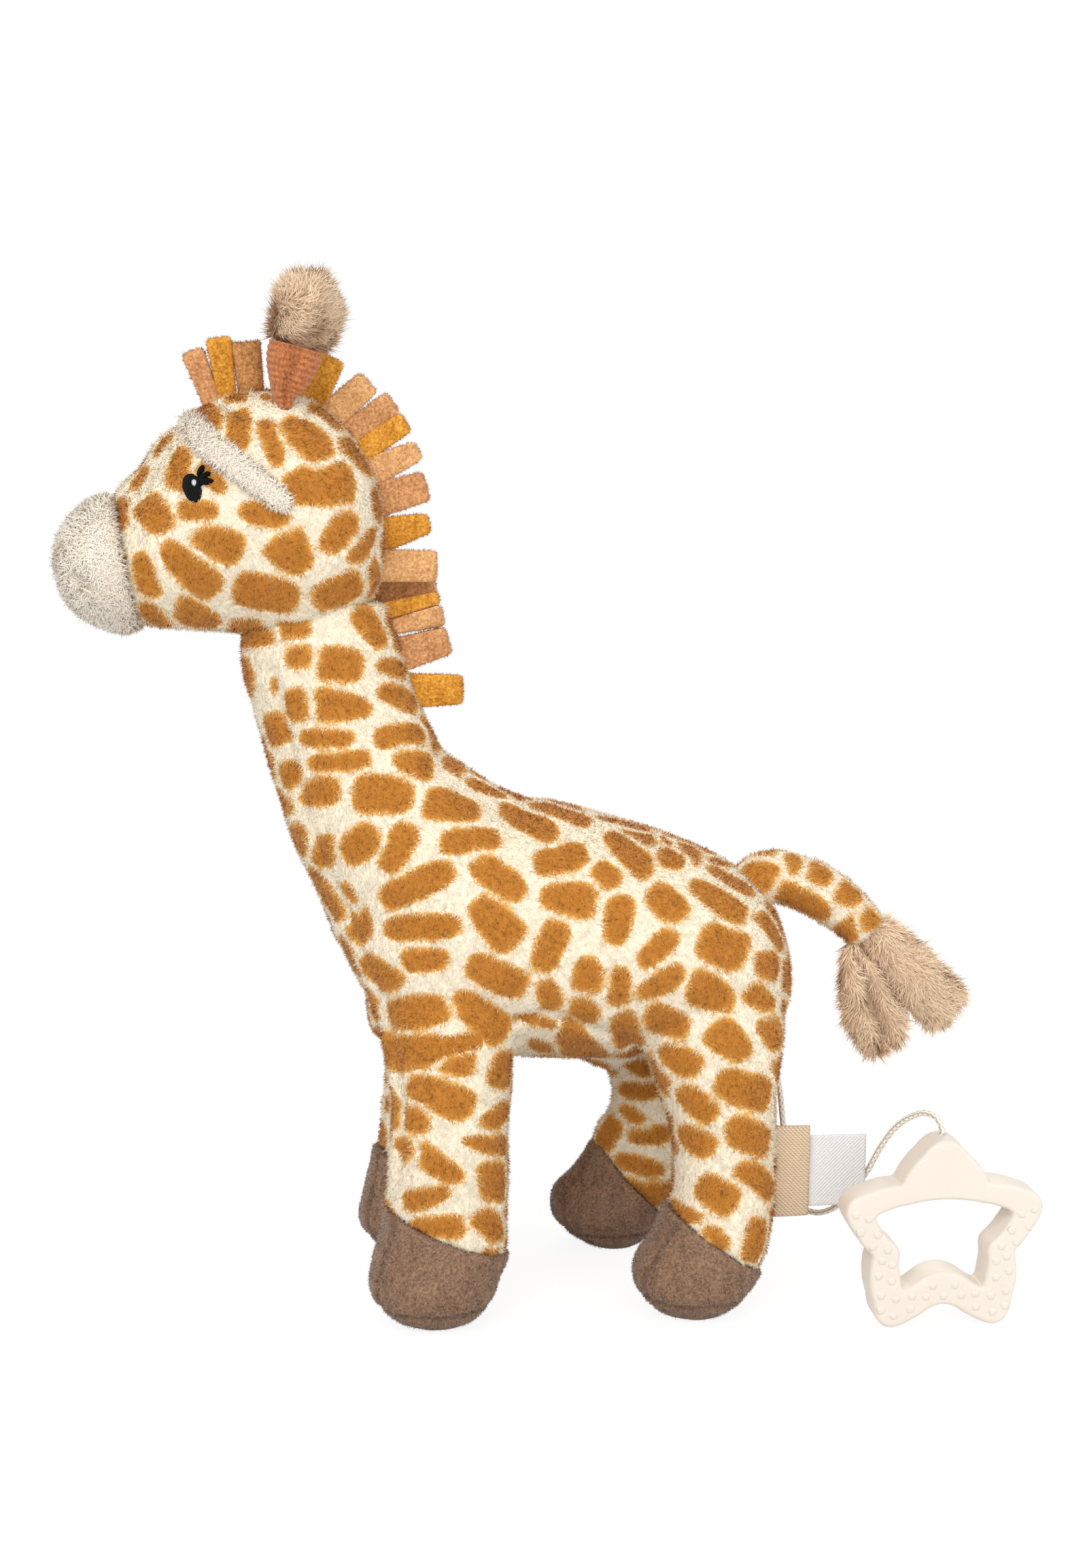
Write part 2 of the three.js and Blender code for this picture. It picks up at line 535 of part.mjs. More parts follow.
function tube(points, radius, sides, steps) {
  const section = new THREE.Shape();
  for (let k = 0; k < sides; k += 1) {
    const turn = 2 * Math.PI * (k + 0.5) / sides;
    const [x, y] = [radius * Math.cos(turn), radius * Math.sin(turn)];
    if (k === 0) section.moveTo(x, y);
    else section.lineTo(x, y);
  }
  section.closePath();
  const route = points.length > 2 ? new THREE.CatmullRomCurve3(points) : new THREE.LineCurve3(...points);
  return solid(new THREE.ExtrudeGeometry(section, { steps, extrudePath: route }));
}

function turnedRing(profile, segments) {
  const closed = [...profile, profile[0]].map(([r, z]) => new THREE.Vector2(r, z));
  return solid(new THREE.LatheGeometry(closed, segments).rotateX(Math.PI / 2));
}

function cylinder(radius, from, to, segments) {
  const geometry = new THREE.CylinderGeometry(radius, radius, to - from, segments);
  return solid(geometry.rotateX(Math.PI / 2).translate(0, 0, (from + to) / 2));
}

// Gears

function gearOutline(teeth) {
  const m = gearTooth.module;
  const pitch = m * teeth / 2;
  const base = pitch * Math.cos(gearTooth.pressureDeg * degrees);
  const outer = pitch + gearTooth.addendumShare * m;
  const root = pitch - gearTooth.dedendumShare * m;
  const involute = (angle) => Math.tan(angle) - angle;
  const halfAt = (radius) => {
    const angle = Math.acos(Math.min(1, base / radius));
    const atPitch = Math.PI / (2 * teeth) - gearTooth.backlash / (2 * pitch);
    return atPitch + involute(gearTooth.pressureDeg * degrees) - involute(angle);
  };
  const flank = [root, pitch, outer].map((radius) => [radius, halfAt(Math.max(radius, base))]);
  const outline = new THREE.Shape();
  for (let k = 0; k < teeth; k += 1) {
    const centre = 2 * Math.PI * k / teeth;
    const rising = flank.map(([r, h]) => [r, centre - h]);
    const falling = [...flank].reverse().map(([r, h]) => [r, centre + h]);
    const points = [...rising, ...falling];
    points.forEach(([r, turn], i) => {
      const [x, y] = [r * Math.cos(turn), r * Math.sin(turn)];
      if (k === 0 && i === 0) outline.moveTo(x, y);
      else outline.lineTo(x, y);
    });
  }
  outline.closePath();
  return outline;
}

function gear(teeth, base, height, bore, phase = 0) {
  const outline = gearOutline(teeth);
  outline.holes.push(new THREE.Path().absarc(0, 0, bore, 0, 2 * Math.PI, true));
  const geometry = new THREE.ExtrudeGeometry(
    outline, { depth: height, bevelEnabled: false, curveSegments: 6 });
  return solid(geometry.rotateZ(phase).translate(0, 0, base));
}

const pitchOf = (a, b) => gearTooth.module * (a + b) / 2;
const heading = (deg) => new THREE.Vector2(Math.cos(deg * degrees), Math.sin(deg * degrees));

// Places of the movement's arbors in the case, seen from the toy's left side
const spoolAt = new THREE.Vector2(spoolPost.x, spoolPost.y);
const drumAt = spoolAt.clone().addScaledVector(
  heading(drum.directionDeg), pitchOf(driveGear.teeth, drumPinion.teeth));
const governorAt = drumAt.clone().addScaledVector(
  heading(governor.directionDeg), pitchOf(drumGear.teeth, governor.teeth));
const drumGearTop = driveGear.base - seatGap;
const drumGearBase = drumGearTop - drumGear.height;
const drumTop = drumGearBase;
const drumBase = drumTop - drum.height;
const windingLevel = spool.base + spool.height / 2;
const caseY = windingLevel;
const caseFloor = spool.base + spool.height + caseShell.floor + runningGap;
const caseRim = -plate.underside - plate.thickness - caseShell.lipDepth;

// The case's bore clears the piece of the movement that reaches furthest from its axis
const combTip = drum.radius + drum.pinReach + comb.tipGap;
const combHeel = combTip + comb.toothLength + comb.root;
const lugSide = comb.thickness / 2 + seatGap + combLug.thickness;
const gearReach = (teeth) => gearTooth.module * (teeth / 2 + gearTooth.addendumShare);
const contentReach = Math.max(
  spoolAt.length() + Math.max(spool.radius, gearReach(driveGear.teeth)),
  drumAt.length() + gearReach(drumGear.teeth), governorAt.length() + governor.reach,
  Math.hypot(drumAt.x + lugSide, drumAt.y - combHeel));
const ledgeRadius = contentReach + caseShell.room;
const caseRadius = ledgeRadius + caseShell.ledge + caseShell.wall;

function spoolPieces() {
  const top = spool.base + spool.height;
  const bore = spoolPost.radius + postGap;
  const profile = [
    [bore, spool.base], [spool.radius, spool.base], [spool.radius, spool.base + spool.flange],
    [spool.hub, spool.base + spool.flange], [spool.hub, top - spool.flange],
    [spool.radius, top - spool.flange],
    [spool.radius, top], [spool.chamber, top], [spool.chamber, spool.base + spool.wall + spool.flange],
    [bore, spool.base + spool.wall + spool.flange],
  ];
  const wheel = new THREE.Shape();
  for (let k = 0; k < ratchet.teeth; k += 1) {
    const [from, to] = [2 * Math.PI * k / ratchet.teeth, 2 * Math.PI * (k + 1) / ratchet.teeth];
    const tip = [ratchet.radius * Math.cos(from), ratchet.radius * Math.sin(from)];
    if (k === 0) wheel.moveTo(...tip);
    else wheel.lineTo(...tip);
    wheel.lineTo(ratchet.root * Math.cos(to), ratchet.root * Math.sin(to));
  }
  wheel.closePath();
  wheel.holes.push(new THREE.Path().absarc(0, 0, bore, 0, 2 * Math.PI, true));
  const teeth = new THREE.ExtrudeGeometry(wheel, { depth: ratchet.height + seatGap, bevelEnabled: false });
  const bobbin = turnedRing(profile, 24).add(solid(teeth.translate(0, 0, spool.base - ratchet.height)));
  const winding = turnedRing([
    [spool.hub + runningGap, spool.base + spool.flange + runningGap],
    [windingRadius, spool.base + spool.flange + runningGap],
    [windingRadius, top - spool.flange - runningGap],
    [spool.hub + runningGap, top - spool.flange - runningGap]], 28);
  return { bobbin, winding };
}

// The mainspring is one flat spiral, wound inside the spool
function spiralSpring() {
  const outer = spool.chamber - runningGap;
  const steps = 12 * mainspring.turns;
  const ring = (grow, reversed) => {
    const points = Array.from({ length: steps + 1 }, (_, k) => {
      const turn = 2 * Math.PI * mainspring.turns * k / steps;
      const radius = THREE.MathUtils.lerp(mainspring.inner, outer - mainspring.thickness, k / steps) + grow;
      return new THREE.Vector2(radius * Math.cos(turn), radius * Math.sin(turn));
    });
    return reversed ? points.reverse() : points;
  };
  const strip = new THREE.Shape([...ring(0, false), ...ring(mainspring.thickness, true)]);
  const base = spool.base + spool.wall + spool.flange + runningGap;
  return solid(new THREE.ExtrudeGeometry(strip, { depth: mainspring.height, bevelEnabled: false })
    .translate(0, 0, base));
}

function drumPieces() {
  const bore = drum.post + postGap;
  const barrel = turnedRing(
    [[bore, drumBase], [drum.radius, drumBase], [drum.radius, drumTop], [bore, drumTop]], 24);
  const pins = Array.from({ length: drum.pins }, (_, k) => {
    const track = k * 5 % comb.teeth;
    const pin = new THREE.BoxGeometry(2 * drum.pinReach, drum.pinSize, drum.pinSize);
    const level = drumBase + drum.height * (track + 1) / (comb.teeth + 1);
    pin.translate(drum.radius, 0, level).rotateZ(2 * Math.PI * k / drum.pins);
    return solid(pin);
  });
  const mesh = heading(drum.directionDeg + 180);
  const pinionPhase = Math.atan2(mesh.y, mesh.x) + Math.PI / drumPinion.teeth;
  const wheel = gear(drumGear.teeth, drumGearBase, drumGear.height, bore, governor.directionDeg * degrees);
  const pinion = gear(
    drumPinion.teeth, drumGearTop - seatGap, drumPinion.height + seatGap, bore, pinionPhase);
  return joined([barrel, ...pins, wheel, pinion]);
}

function driveWheel() {
  return gear(driveGear.teeth, driveGear.base, driveGear.height, spoolPost.radius + postGap,
    drum.directionDeg * degrees);
}

// The click is a leaf on the drive wheel that drags over the ratchet's teeth
function clickLeaf() {
  const leaf = new THREE.BoxGeometry(click.outer - click.inner, click.width, click.thickness);
  const level = driveGear.base + driveGear.height + seatGap + click.thickness / 2;
  return solid(leaf.translate((click.outer + click.inner) / 2, 0, level));
}

function governorFan() {
  const bore = governor.post + postGap;
  const mesh = heading(governor.directionDeg + 180);
  const phase = Math.atan2(mesh.y, mesh.x) + Math.PI / governor.teeth;
  const pinionBase = drumGearTop - seatGap - governorPinionHeight;
  const pinion = gear(governor.teeth, pinionBase, governorPinionHeight, bore, phase);
  const [hubFrom, hubTo] = [drumGearTop - 2 * seatGap, governor.base + governor.height];
  const hub = turnedRing([
    [bore, hubFrom], [bore + governor.vane, hubFrom], [bore + governor.vane, hubTo], [bore, hubTo]], 12);
  const vanes = [0, 1].map((half) => {
    const vaneFrom = bore + governor.vane / 2;
    const vane = new THREE.BoxGeometry(governor.reach - vaneFrom, governor.vane, governor.height);
    vane.translate((governor.reach + vaneFrom) / 2, 0, governor.base + governor.height / 2);
    return solid(vane.rotateZ(half * Math.PI));
  });
  return joined([pinion, hub, ...vanes]);
}

// The comb's teeth point at the drum's axis and end just short of its pins
function combPieces() {
  const width = drum.height;
  const pitch = width / comb.teeth;
  const outline = new THREE.Shape();
  const rootLine = -(combTip + comb.toothLength);
  outline.moveTo(drumBase, rootLine - comb.root);
  const slitEnd = (k) => rootLine + comb.trebleShare * comb.toothLength * (k / comb.teeth) ** 2;
  for (let k = 0; k < comb.teeth; k += 1) {
    const from = drumBase + k * pitch + comb.slitShare * pitch / 2;
    const to = from + (1 - comb.slitShare) * pitch;
    if (k > 0) outline.lineTo(from, slitEnd(k));
    outline.lineTo(from, -combTip);
    outline.lineTo(to, -combTip);
    if (k < comb.teeth - 1) outline.lineTo(to, slitEnd(k + 1));
  }
  outline.lineTo(drumTop, rootLine - comb.root);
  outline.closePath();
  for (const side of [-1, 1]) {
    const at = drumBase + width / 2 + side * combScrew.spread / 2;
    outline.holes.push(new THREE.Path().absarc(
      at, rootLine - comb.root / 2, combScrew.radius + runningGap, 0, 2 * Math.PI, false));
  }
  const sheet = new THREE.ExtrudeGeometry(
    outline, { depth: comb.thickness, bevelEnabled: false, curveSegments: 6 });
  const turn = new THREE.Matrix4().makeBasis(
    new THREE.Vector3(0, 0, 1), new THREE.Vector3(0, 1, 0), new THREE.Vector3(-1, 0, 0));
  sheet.applyMatrix4(turn).translate(drumAt.x + comb.thickness / 2, drumAt.y, 0);
  const screwY = drumAt.y + rootLine - comb.root / 2;
  const screws = [-1, 1].map((side) => {
    const z = drumBase + width / 2 + side * combScrew.spread / 2;
    const shank = new THREE.CylinderGeometry(
      combScrew.radius, combScrew.radius, comb.thickness + combLug.thickness, 8);
    const cap = new THREE.CylinderGeometry(combScrew.head, combScrew.head, combScrew.headHeight, 10);
    const left = drumAt.x - comb.thickness / 2 - seatGap;
    shank.rotateZ(Math.PI / 2).translate(left + (comb.thickness + combLug.thickness) / 2, screwY, z);
    cap.rotateZ(Math.PI / 2).translate(left - combScrew.headHeight / 2, screwY, z);
    return solid(shank).add(solid(cap));
  });
  return { sheet: solid(sheet), screws, screwY, rootLine };
}

function bedplate({ screwY, rootLine }) {
  const disc = cylinder(
    ledgeRadius + caseShell.ledge - runningGap, -plate.underside - plate.thickness, -plate.underside, 32);
  const posts = [
    [spoolAt, spoolPost.radius, spool.base + spool.height - runningGap],
    [drumAt, drum.post, drumGearTop + drumPinion.height],
    [governorAt, governor.post, governor.base + governor.height],
  ].map(([at, radius, top]) => moved(cylinder(radius, -plate.underside - seatGap, top, 12), at.x, at.y, 0));
  const lugHeight = comb.root;
  const lugFrom = drumAt.x + comb.thickness / 2 + seatGap;
  const lug = new THREE.BoxGeometry(combLug.thickness, lugHeight, drumTop + plate.underside + seatGap);
  lug.translate(lugFrom + combLug.thickness / 2, drumAt.y + rootLine - lugHeight / 2,
    (drumTop - plate.underside - seatGap) / 2);
  const bores = [-1, 1].map((side) => {
    const bore = new THREE.CylinderGeometry(
      combScrew.radius + runningGap, combScrew.radius + runningGap, 2 * cutOverrun, 8);
    const level = drumBase + drum.height / 2 + side * combScrew.spread / 2;
    bore.rotateZ(Math.PI / 2).translate(lugFrom, screwY, level);
    return solid(bore);
  });
  return cut(joined([disc, ...posts, solid(lug)]), ...bores);
}

function casePieces(cordHole) {
  const inner = ledgeRadius;
  const seat = ledgeRadius + caseShell.ledge;
  const ledge = -plate.underside + seatGap;
  const cup = turnedRing([
    [0, caseFloor], [caseRadius, caseFloor], [caseRadius, caseRim], [seat, caseRim],
    [seat, ledge], [inner, ledge], [inner, caseFloor - caseShell.floor],
    [0, caseFloor - caseShell.floor]], 32);
  const lidTop = caseRim - seatGap;
  const lipTop = -plate.underside - plate.thickness - seatGap;
  const lid = turnedRing([
    [0, lidTop - caseShell.cover], [caseRadius, lidTop - caseShell.cover], [caseRadius, lidTop],
    [seat - runningGap, lidTop], [seat - runningGap, lipTop], [seat - caseShell.lip, lipTop],
    [seat - caseShell.lip, lidTop], [0, lidTop]], 32);
  const spots = Array.from({ length: caseScrews.count }, (_, k) => heading(90 + 360 * k / caseScrews.count)
    .multiplyScalar(ledgeRadius + caseScrews.inset));
  const lidUnder = lidTop - caseShell.cover;
  const bores = spots.map((at) => moved(cylinder(
    caseScrews.radius + runningGap, lidUnder - cutOverrun, ledge + cutOverrun, 10), at.x, at.y, 0));
  const screws = spots.map((at) => moved(joined([
    cylinder(caseScrews.radius, lidUnder - seatGap, ledge + cutOverrun - runningGap, 8),
    cylinder(caseScrews.head, lidUnder - caseScrews.headHeight - seatGap, lidUnder - seatGap, 10),
  ]), at.x, at.y, 0));
  return { cup: cut(cup, ...bores, cordHole), lid: cut(lid, ...bores), bores, screws };
}

// Assembly

const toy = new THREE.Group();
toy.position.set(-middle.x, -middle.y, 0);

const movementGroup = new THREE.Group();
movementGroup.position.set(movement.x, caseY, movement.z);
movementGroup.rotation.x = Math.PI / 2;
toy.add(movementGroup);

function put(name, body, finish, group = toy) {
  const mesh = new THREE.Mesh(geometryOf(body), materialOf(finish));
  mesh.name = name;
  group.add(mesh);
  return mesh;
}

// The cord leaves the spool at a tangent and runs straight to the eyelet
const spoolCentre = new THREE.Vector3(movement.x + spoolAt.x, 0, movement.z + spoolAt.y);
const exit = new THREE.Vector3(cordExit.x, cordExit.y, cordExit.z);
const toExit = exit.clone().sub(spoolCentre);
const pulled = windingRadius + cord.diameter / 2 + runningGap;
const tangentTurn = Math.atan2(toExit.z, toExit.x) - Math.acos(pulled / toExit.length());
const leave = spoolCentre.clone().add(
  new THREE.Vector3(pulled * Math.cos(tangentTurn), 0, pulled * Math.sin(tangentTurn)));
const run = exit.clone().sub(leave).normalize();
const channelOf = (radius, from, to) => tube(
  [leave.clone().addScaledVector(run, from), leave.clone().addScaledVector(run, to)], radius, 10, 1);
const runLength = exit.distanceTo(leave);
const past = 4 * eyelet.length;

const intoMovement = (body) => solid(geometryOf(body)
  .translate(-movement.x, -caseY, -movement.z).rotateX(-Math.PI / 2));
const movementOut = (body) => solid(geometryOf(body)
  .rotateX(Math.PI / 2).translate(movement.x, caseY, movement.z));

// Eyelet: a tube with a flange outside the seam, in line with the cord
function eyeletRing() {
  const profile = [
    [eyelet.bore, eyelet.flange / 2], [eyelet.radius, eyelet.flange / 2], [eyelet.radius, -eyelet.flange / 2],
    [eyelet.stem, -eyelet.flange / 2], [eyelet.stem, -eyelet.length], [eyelet.bore, -eyelet.length]];
  const ring = geometryOf(turnedRing(profile, 16));
  const spin = new THREE.Quaternion().setFromUnitVectors(new THREE.Vector3(0, 0, 1), run);
  const centre = exit.clone().addScaledVector(run, -eyelet.flange / 2);
  return solid(ring.applyMatrix4(new THREE.Matrix4().compose(centre, spin, new THREE.Vector3(1, 1, 1))));
}

const legParts = legs.map((leg) => ({ ...leg, ...legPieces(leg) }));
const bodySkin = plush(torso, seamGap);
const headSkin = plush(head, seamGap);
const neckSkin = plush(neck, seamGap);

// The tail turns about the vertical line through its root, inside a flared seam
const tailRange = 35;
const upward = new THREE.Vector3(0, 0, 1);
const tailPivot = new THREE.Vector3(tail.place.x, tail.place.y, tail.place.z);
const rootBall = new THREE.SphereGeometry(tail.girth.across / 2, 14, 10)
  .translate(tailPivot.x, tailPivot.y, tailPivot.z);
const rootRoom = new THREE.SphereGeometry(tail.girth.across / 2 + seamGap + runningGap, 14, 10)
  .translate(tailPivot.x, tailPivot.y, tailPivot.z);
const tailSwingShares = [-1, -0.66, -0.33, 0, 0.33, 0.66, 1];
const tailRoom = joined([solid(rootRoom), ...tailSwingShares.map(
  (share) => turned(plush(tail, seamGap + runningGap), upward, share * tailRange * degrees, tailPivot))]);

const pocketFrom = caseRim - seatGap - caseShell.cover - caseScrews.headHeight - casePocketGap;
const pocket = movementOut(cylinder(
  caseRadius + casePocketGap, pocketFrom, caseFloor + casePocketGap, 28));
const channel = channelOf(eyelet.bore + seamGap, 0, runLength + past);
const eyeletSeat = channelOf(
  eyelet.stem + seamGap, runLength - eyelet.length - eyelet.flange - seamGap, runLength + past);
const flangeSeat = channelOf(
  eyelet.radius + seamGap, runLength - 1.5 * eyelet.flange - seamGap, runLength + past);

put('torso', cut(plush(torso), tailRoom, pocket, channel, eyeletSeat, flangeSeat), finishes.plush);
put('neck', cut(plush(neck), bodySkin, headSkin), finishes.plush);
put('head', plush(head), finishes.plush);
put('muzzle', cut(plush(muzzle), headSkin), finishes.pile);
for (const part of legParts) {
  const place = `${part.end}_${part.side}`;
  put(`leg_${place}`, cut(part.shank, bodySkin, neckSkin, flangeSeat), finishes.plush);
  put(`hoof_${place}`, part.hoof, finishes.hoof);
}
for (const [side, hand] of [['left', -1], ['right', 1]]) {
  put(`brow_${side}`, cut(browStrip(hand), headSkin), finishes.pile);
  put(`eye_${side}`, cut(eyePatch(hand), headSkin), finishes.thread);
  const shift = hand < 0 ? { x: 0, z: 0 } : rightHornShift;
  const place = (body) => moved(body, shift.x, hand * hornSpread, shift.z);
  const stem = place(plush(hornStem));
  put(`horn_stem_${side}`, cut(stem, headSkin), finishes.rust);
  put(`horn_tip_${side}`, cut(place(plush(hornTip)), place(plush(hornStem, seamGap))), finishes.beige);
}
loopShares.forEach((shares, k) => {
  const name = `mane_loop_${String(k + 1).padStart(2, '0')}`;
  put(name, cut(maneLoop(shares), headSkin, neckSkin), { color: loopColours[k], roughness: 0.92 });
});

const tailBody = plush(tail).add(solid(rootBall));
put('tail', tailBody, finishes.plush);
const backFlap = cut(plush(tuftBack), plush(tail, seamGap));
put('tail_tuft_back', backFlap, finishes.beige);
put('tail_tuft_front', cut(plush(tuftFront), plush(tail, seamGap), plush(tuftBack, seamGap)), finishes.beige);

const hindLeft = legParts.find(({ end, side }) => end === 'hind' && side === 'left');
const careY = wovenLabel.y + (wovenLabel.thickness + careLabel.thickness) / 2 + seamGap;
put('woven_label', cut(labelSheet(wovenLabel, wovenLabel.y), hindLeft.whole), finishes.woven);
put('care_label', cut(labelSheet(careLabel, careY), hindLeft.whole), finishes.satin);

const starMade = starBody();
put('pull_star', withNubs(starMade), finishes.silicone);
const route = cordRoute.map(([x, y, z]) => new THREE.Vector3(x, y, z));
put('pull_cord', tube(route, cord.diameter / 2, cord.sides, cord.steps), finishes.braid);
put('cord_eyelet', eyeletRing(), finishes.plastic);
put('cord_inner', channelOf(cord.diameter / 2, 0, runLength - runningGap), finishes.braid);

const cordHole = intoMovement(channelOf(cord.diameter / 2 + 2 * runningGap, 0, runLength));
const { cup, lid, bores, screws } = casePieces(cordHole);
const combMade = combPieces();
put('case_base', cup, finishes.plastic, movementGroup);
put('case_cover', lid, finishes.plastic, movementGroup);
screws.forEach((screw, k) => put(`case_screw_${k + 1}`, screw, finishes.steel, movementGroup));
put('bedplate', cut(bedplate(combMade), ...bores), finishes.brass, movementGroup);
put('comb', combMade.sheet, finishes.steel, movementGroup);
combMade.screws.forEach((screw, k) => put(`comb_screw_${k + 1}`, screw, finishes.steel, movementGroup));
const { bobbin, winding } = spoolPieces();
const atSpool = (body) => moved(body, spoolAt.x, spoolAt.y, 0);
put('cord_spool', atSpool(bobbin), finishes.nylon, movementGroup);
put('cord_winding', atSpool(winding), finishes.braid, movementGroup);
put('mainspring', atSpool(spiralSpring()), finishes.steel, movementGroup);
put('drive_gear', atSpool(driveWheel()), finishes.brass, movementGroup);
put('click_leaf', atSpool(clickLeaf()), finishes.steel, movementGroup);
put('pin_drum', moved(drumPieces(), drumAt.x, drumAt.y, 0), finishes.brass, movementGroup);
put('governor_fan', moved(governorFan(), governorAt.x, governorAt.y, 0), finishes.nylon, movementGroup);

export default toy;
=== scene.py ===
"""Looks of a plush giraffe with a pull cord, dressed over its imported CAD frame.

Every piece is in metres in the frame of the CAD model: +Z up, the toy looks along -X and its left
side faces -Y. Stuffed forms are lofted from tables like those of the solids, joined into skins of
cloth, printed with spots and covered in pile. Sizes in the tables are millimetres of the layout.
"""

import logging
import math
from dataclasses import dataclass, field, replace
from enum import Enum
from typing import Any, Callable, Optional, Sequence, Union

import bmesh
import bpy
import numpy as np
from bpy.types import Material, Mesh, Object
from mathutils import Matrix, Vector, noise
from mathutils.bvhtree import BVHTree
from mathutils.kdtree import KDTree


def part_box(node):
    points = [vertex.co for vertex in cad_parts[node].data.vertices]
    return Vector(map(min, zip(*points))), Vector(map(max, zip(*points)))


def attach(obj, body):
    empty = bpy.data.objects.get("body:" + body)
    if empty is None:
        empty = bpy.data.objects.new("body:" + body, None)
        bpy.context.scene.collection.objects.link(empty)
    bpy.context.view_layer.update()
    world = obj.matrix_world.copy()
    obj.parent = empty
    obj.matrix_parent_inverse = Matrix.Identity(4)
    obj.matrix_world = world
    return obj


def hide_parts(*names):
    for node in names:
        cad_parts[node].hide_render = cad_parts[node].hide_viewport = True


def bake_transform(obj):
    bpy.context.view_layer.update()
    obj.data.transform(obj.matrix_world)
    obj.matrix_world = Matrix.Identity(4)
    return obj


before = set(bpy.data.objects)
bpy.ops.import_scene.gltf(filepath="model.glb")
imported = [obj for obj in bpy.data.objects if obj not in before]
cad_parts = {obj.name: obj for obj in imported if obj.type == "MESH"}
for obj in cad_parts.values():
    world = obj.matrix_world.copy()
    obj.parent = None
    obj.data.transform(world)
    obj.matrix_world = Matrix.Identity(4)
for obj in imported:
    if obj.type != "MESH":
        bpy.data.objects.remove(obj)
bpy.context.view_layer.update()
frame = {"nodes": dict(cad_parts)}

log = logging.getLogger("giraffe")

MM = 0.001
LAYOUT_SHIFT = np.array([-9.508, 2.406, 0.0])  # from the layout's origin to the frame's
MIDDLE = 0.0024  # the toy's middle plane in the frame, where left pile meets right
ACROSS = np.array([0, 1.0, 0])
LEAST_HALF = 0.2  # the thinnest that a stuffed form is lofted
Colour = tuple[float, float, float]


def in_frame(points: Any) -> np.ndarray:
    """Points of the layout in millimetres, as points of the frame in metres."""
    return (np.asarray(points, float) + LAYOUT_SHIFT) * MM


def linear(colour: Colour) -> tuple[float, float, float, float]:
    """A display colour as the linear colour that shaders take.

    Args:
        colour: red, green and blue as seen on a screen, 0 to 1.

    Returns:
        Linear red, green and blue, with full alpha.
    """
    def channel(c: float) -> float:
        """One channel, linear."""
        return c / 12.92 if c <= 0.04045 else ((c + 0.055) / 1.055) ** 2.4
    return (*[channel(c) for c in colour], 1.0)


def unit(vectors: np.ndarray) -> np.ndarray:
    """Vectors along the last axis, each made one long."""
    return vectors / np.maximum(np.linalg.norm(vectors, axis=-1, keepdims=True), 1e-12)


def linked(name: str, data: Any) -> Object:
    """Adds an object to the scene.

    Args:
        name: its name.
        data: its mesh, camera or lamp.

    Returns:
        The object.
    """
    made = bpy.data.objects.new(name, data)
    bpy.context.scene.collection.objects.link(made)
    return made


# ---- shader maths


def operator(operation: str, turned: bool = False) -> Callable[..., "Wire"]:
    """A method that adds a Math node to a wire.

    Args:
        operation: the node's operation.
        turned: puts the other value first, for a reflected operator.

    Returns:
        The method.
    """
    def method(wire: "Wire", *other: Any) -> "Wire":
        """The Math node's result."""
        values = (*other, wire) if turned else (wire, *other)
        return wire.sheet.add("ShaderNodeMath", {"operation": operation}, dict(enumerate(values)))
    return method


class Wire:
    """A value in a shader. Python operators on it add Math nodes."""

    def __init__(self, sheet: "Shading", socket: bpy.types.NodeSocket) -> None:
        """Wraps an output socket of one material's shading."""
        self.sheet, self.socket = sheet, socket

    __add__, __radd__ = operator("ADD"), operator("ADD", True)
    __sub__, __rsub__ = operator("SUBTRACT"), operator("SUBTRACT", True)
    __mul__, __rmul__ = operator("MULTIPLY"), operator("MULTIPLY", True)
    __truediv__, __rtruediv__ = operator("DIVIDE"), operator("DIVIDE", True)
    __pow__, sine = operator("POWER"), operator("SINE")
    least, most = operator("MINIMUM"), operator("MAXIMUM")

    def clamped(self) -> "Wire":
        """The value kept between 0 and 1."""
        return self.most(0.0).least(1.0)


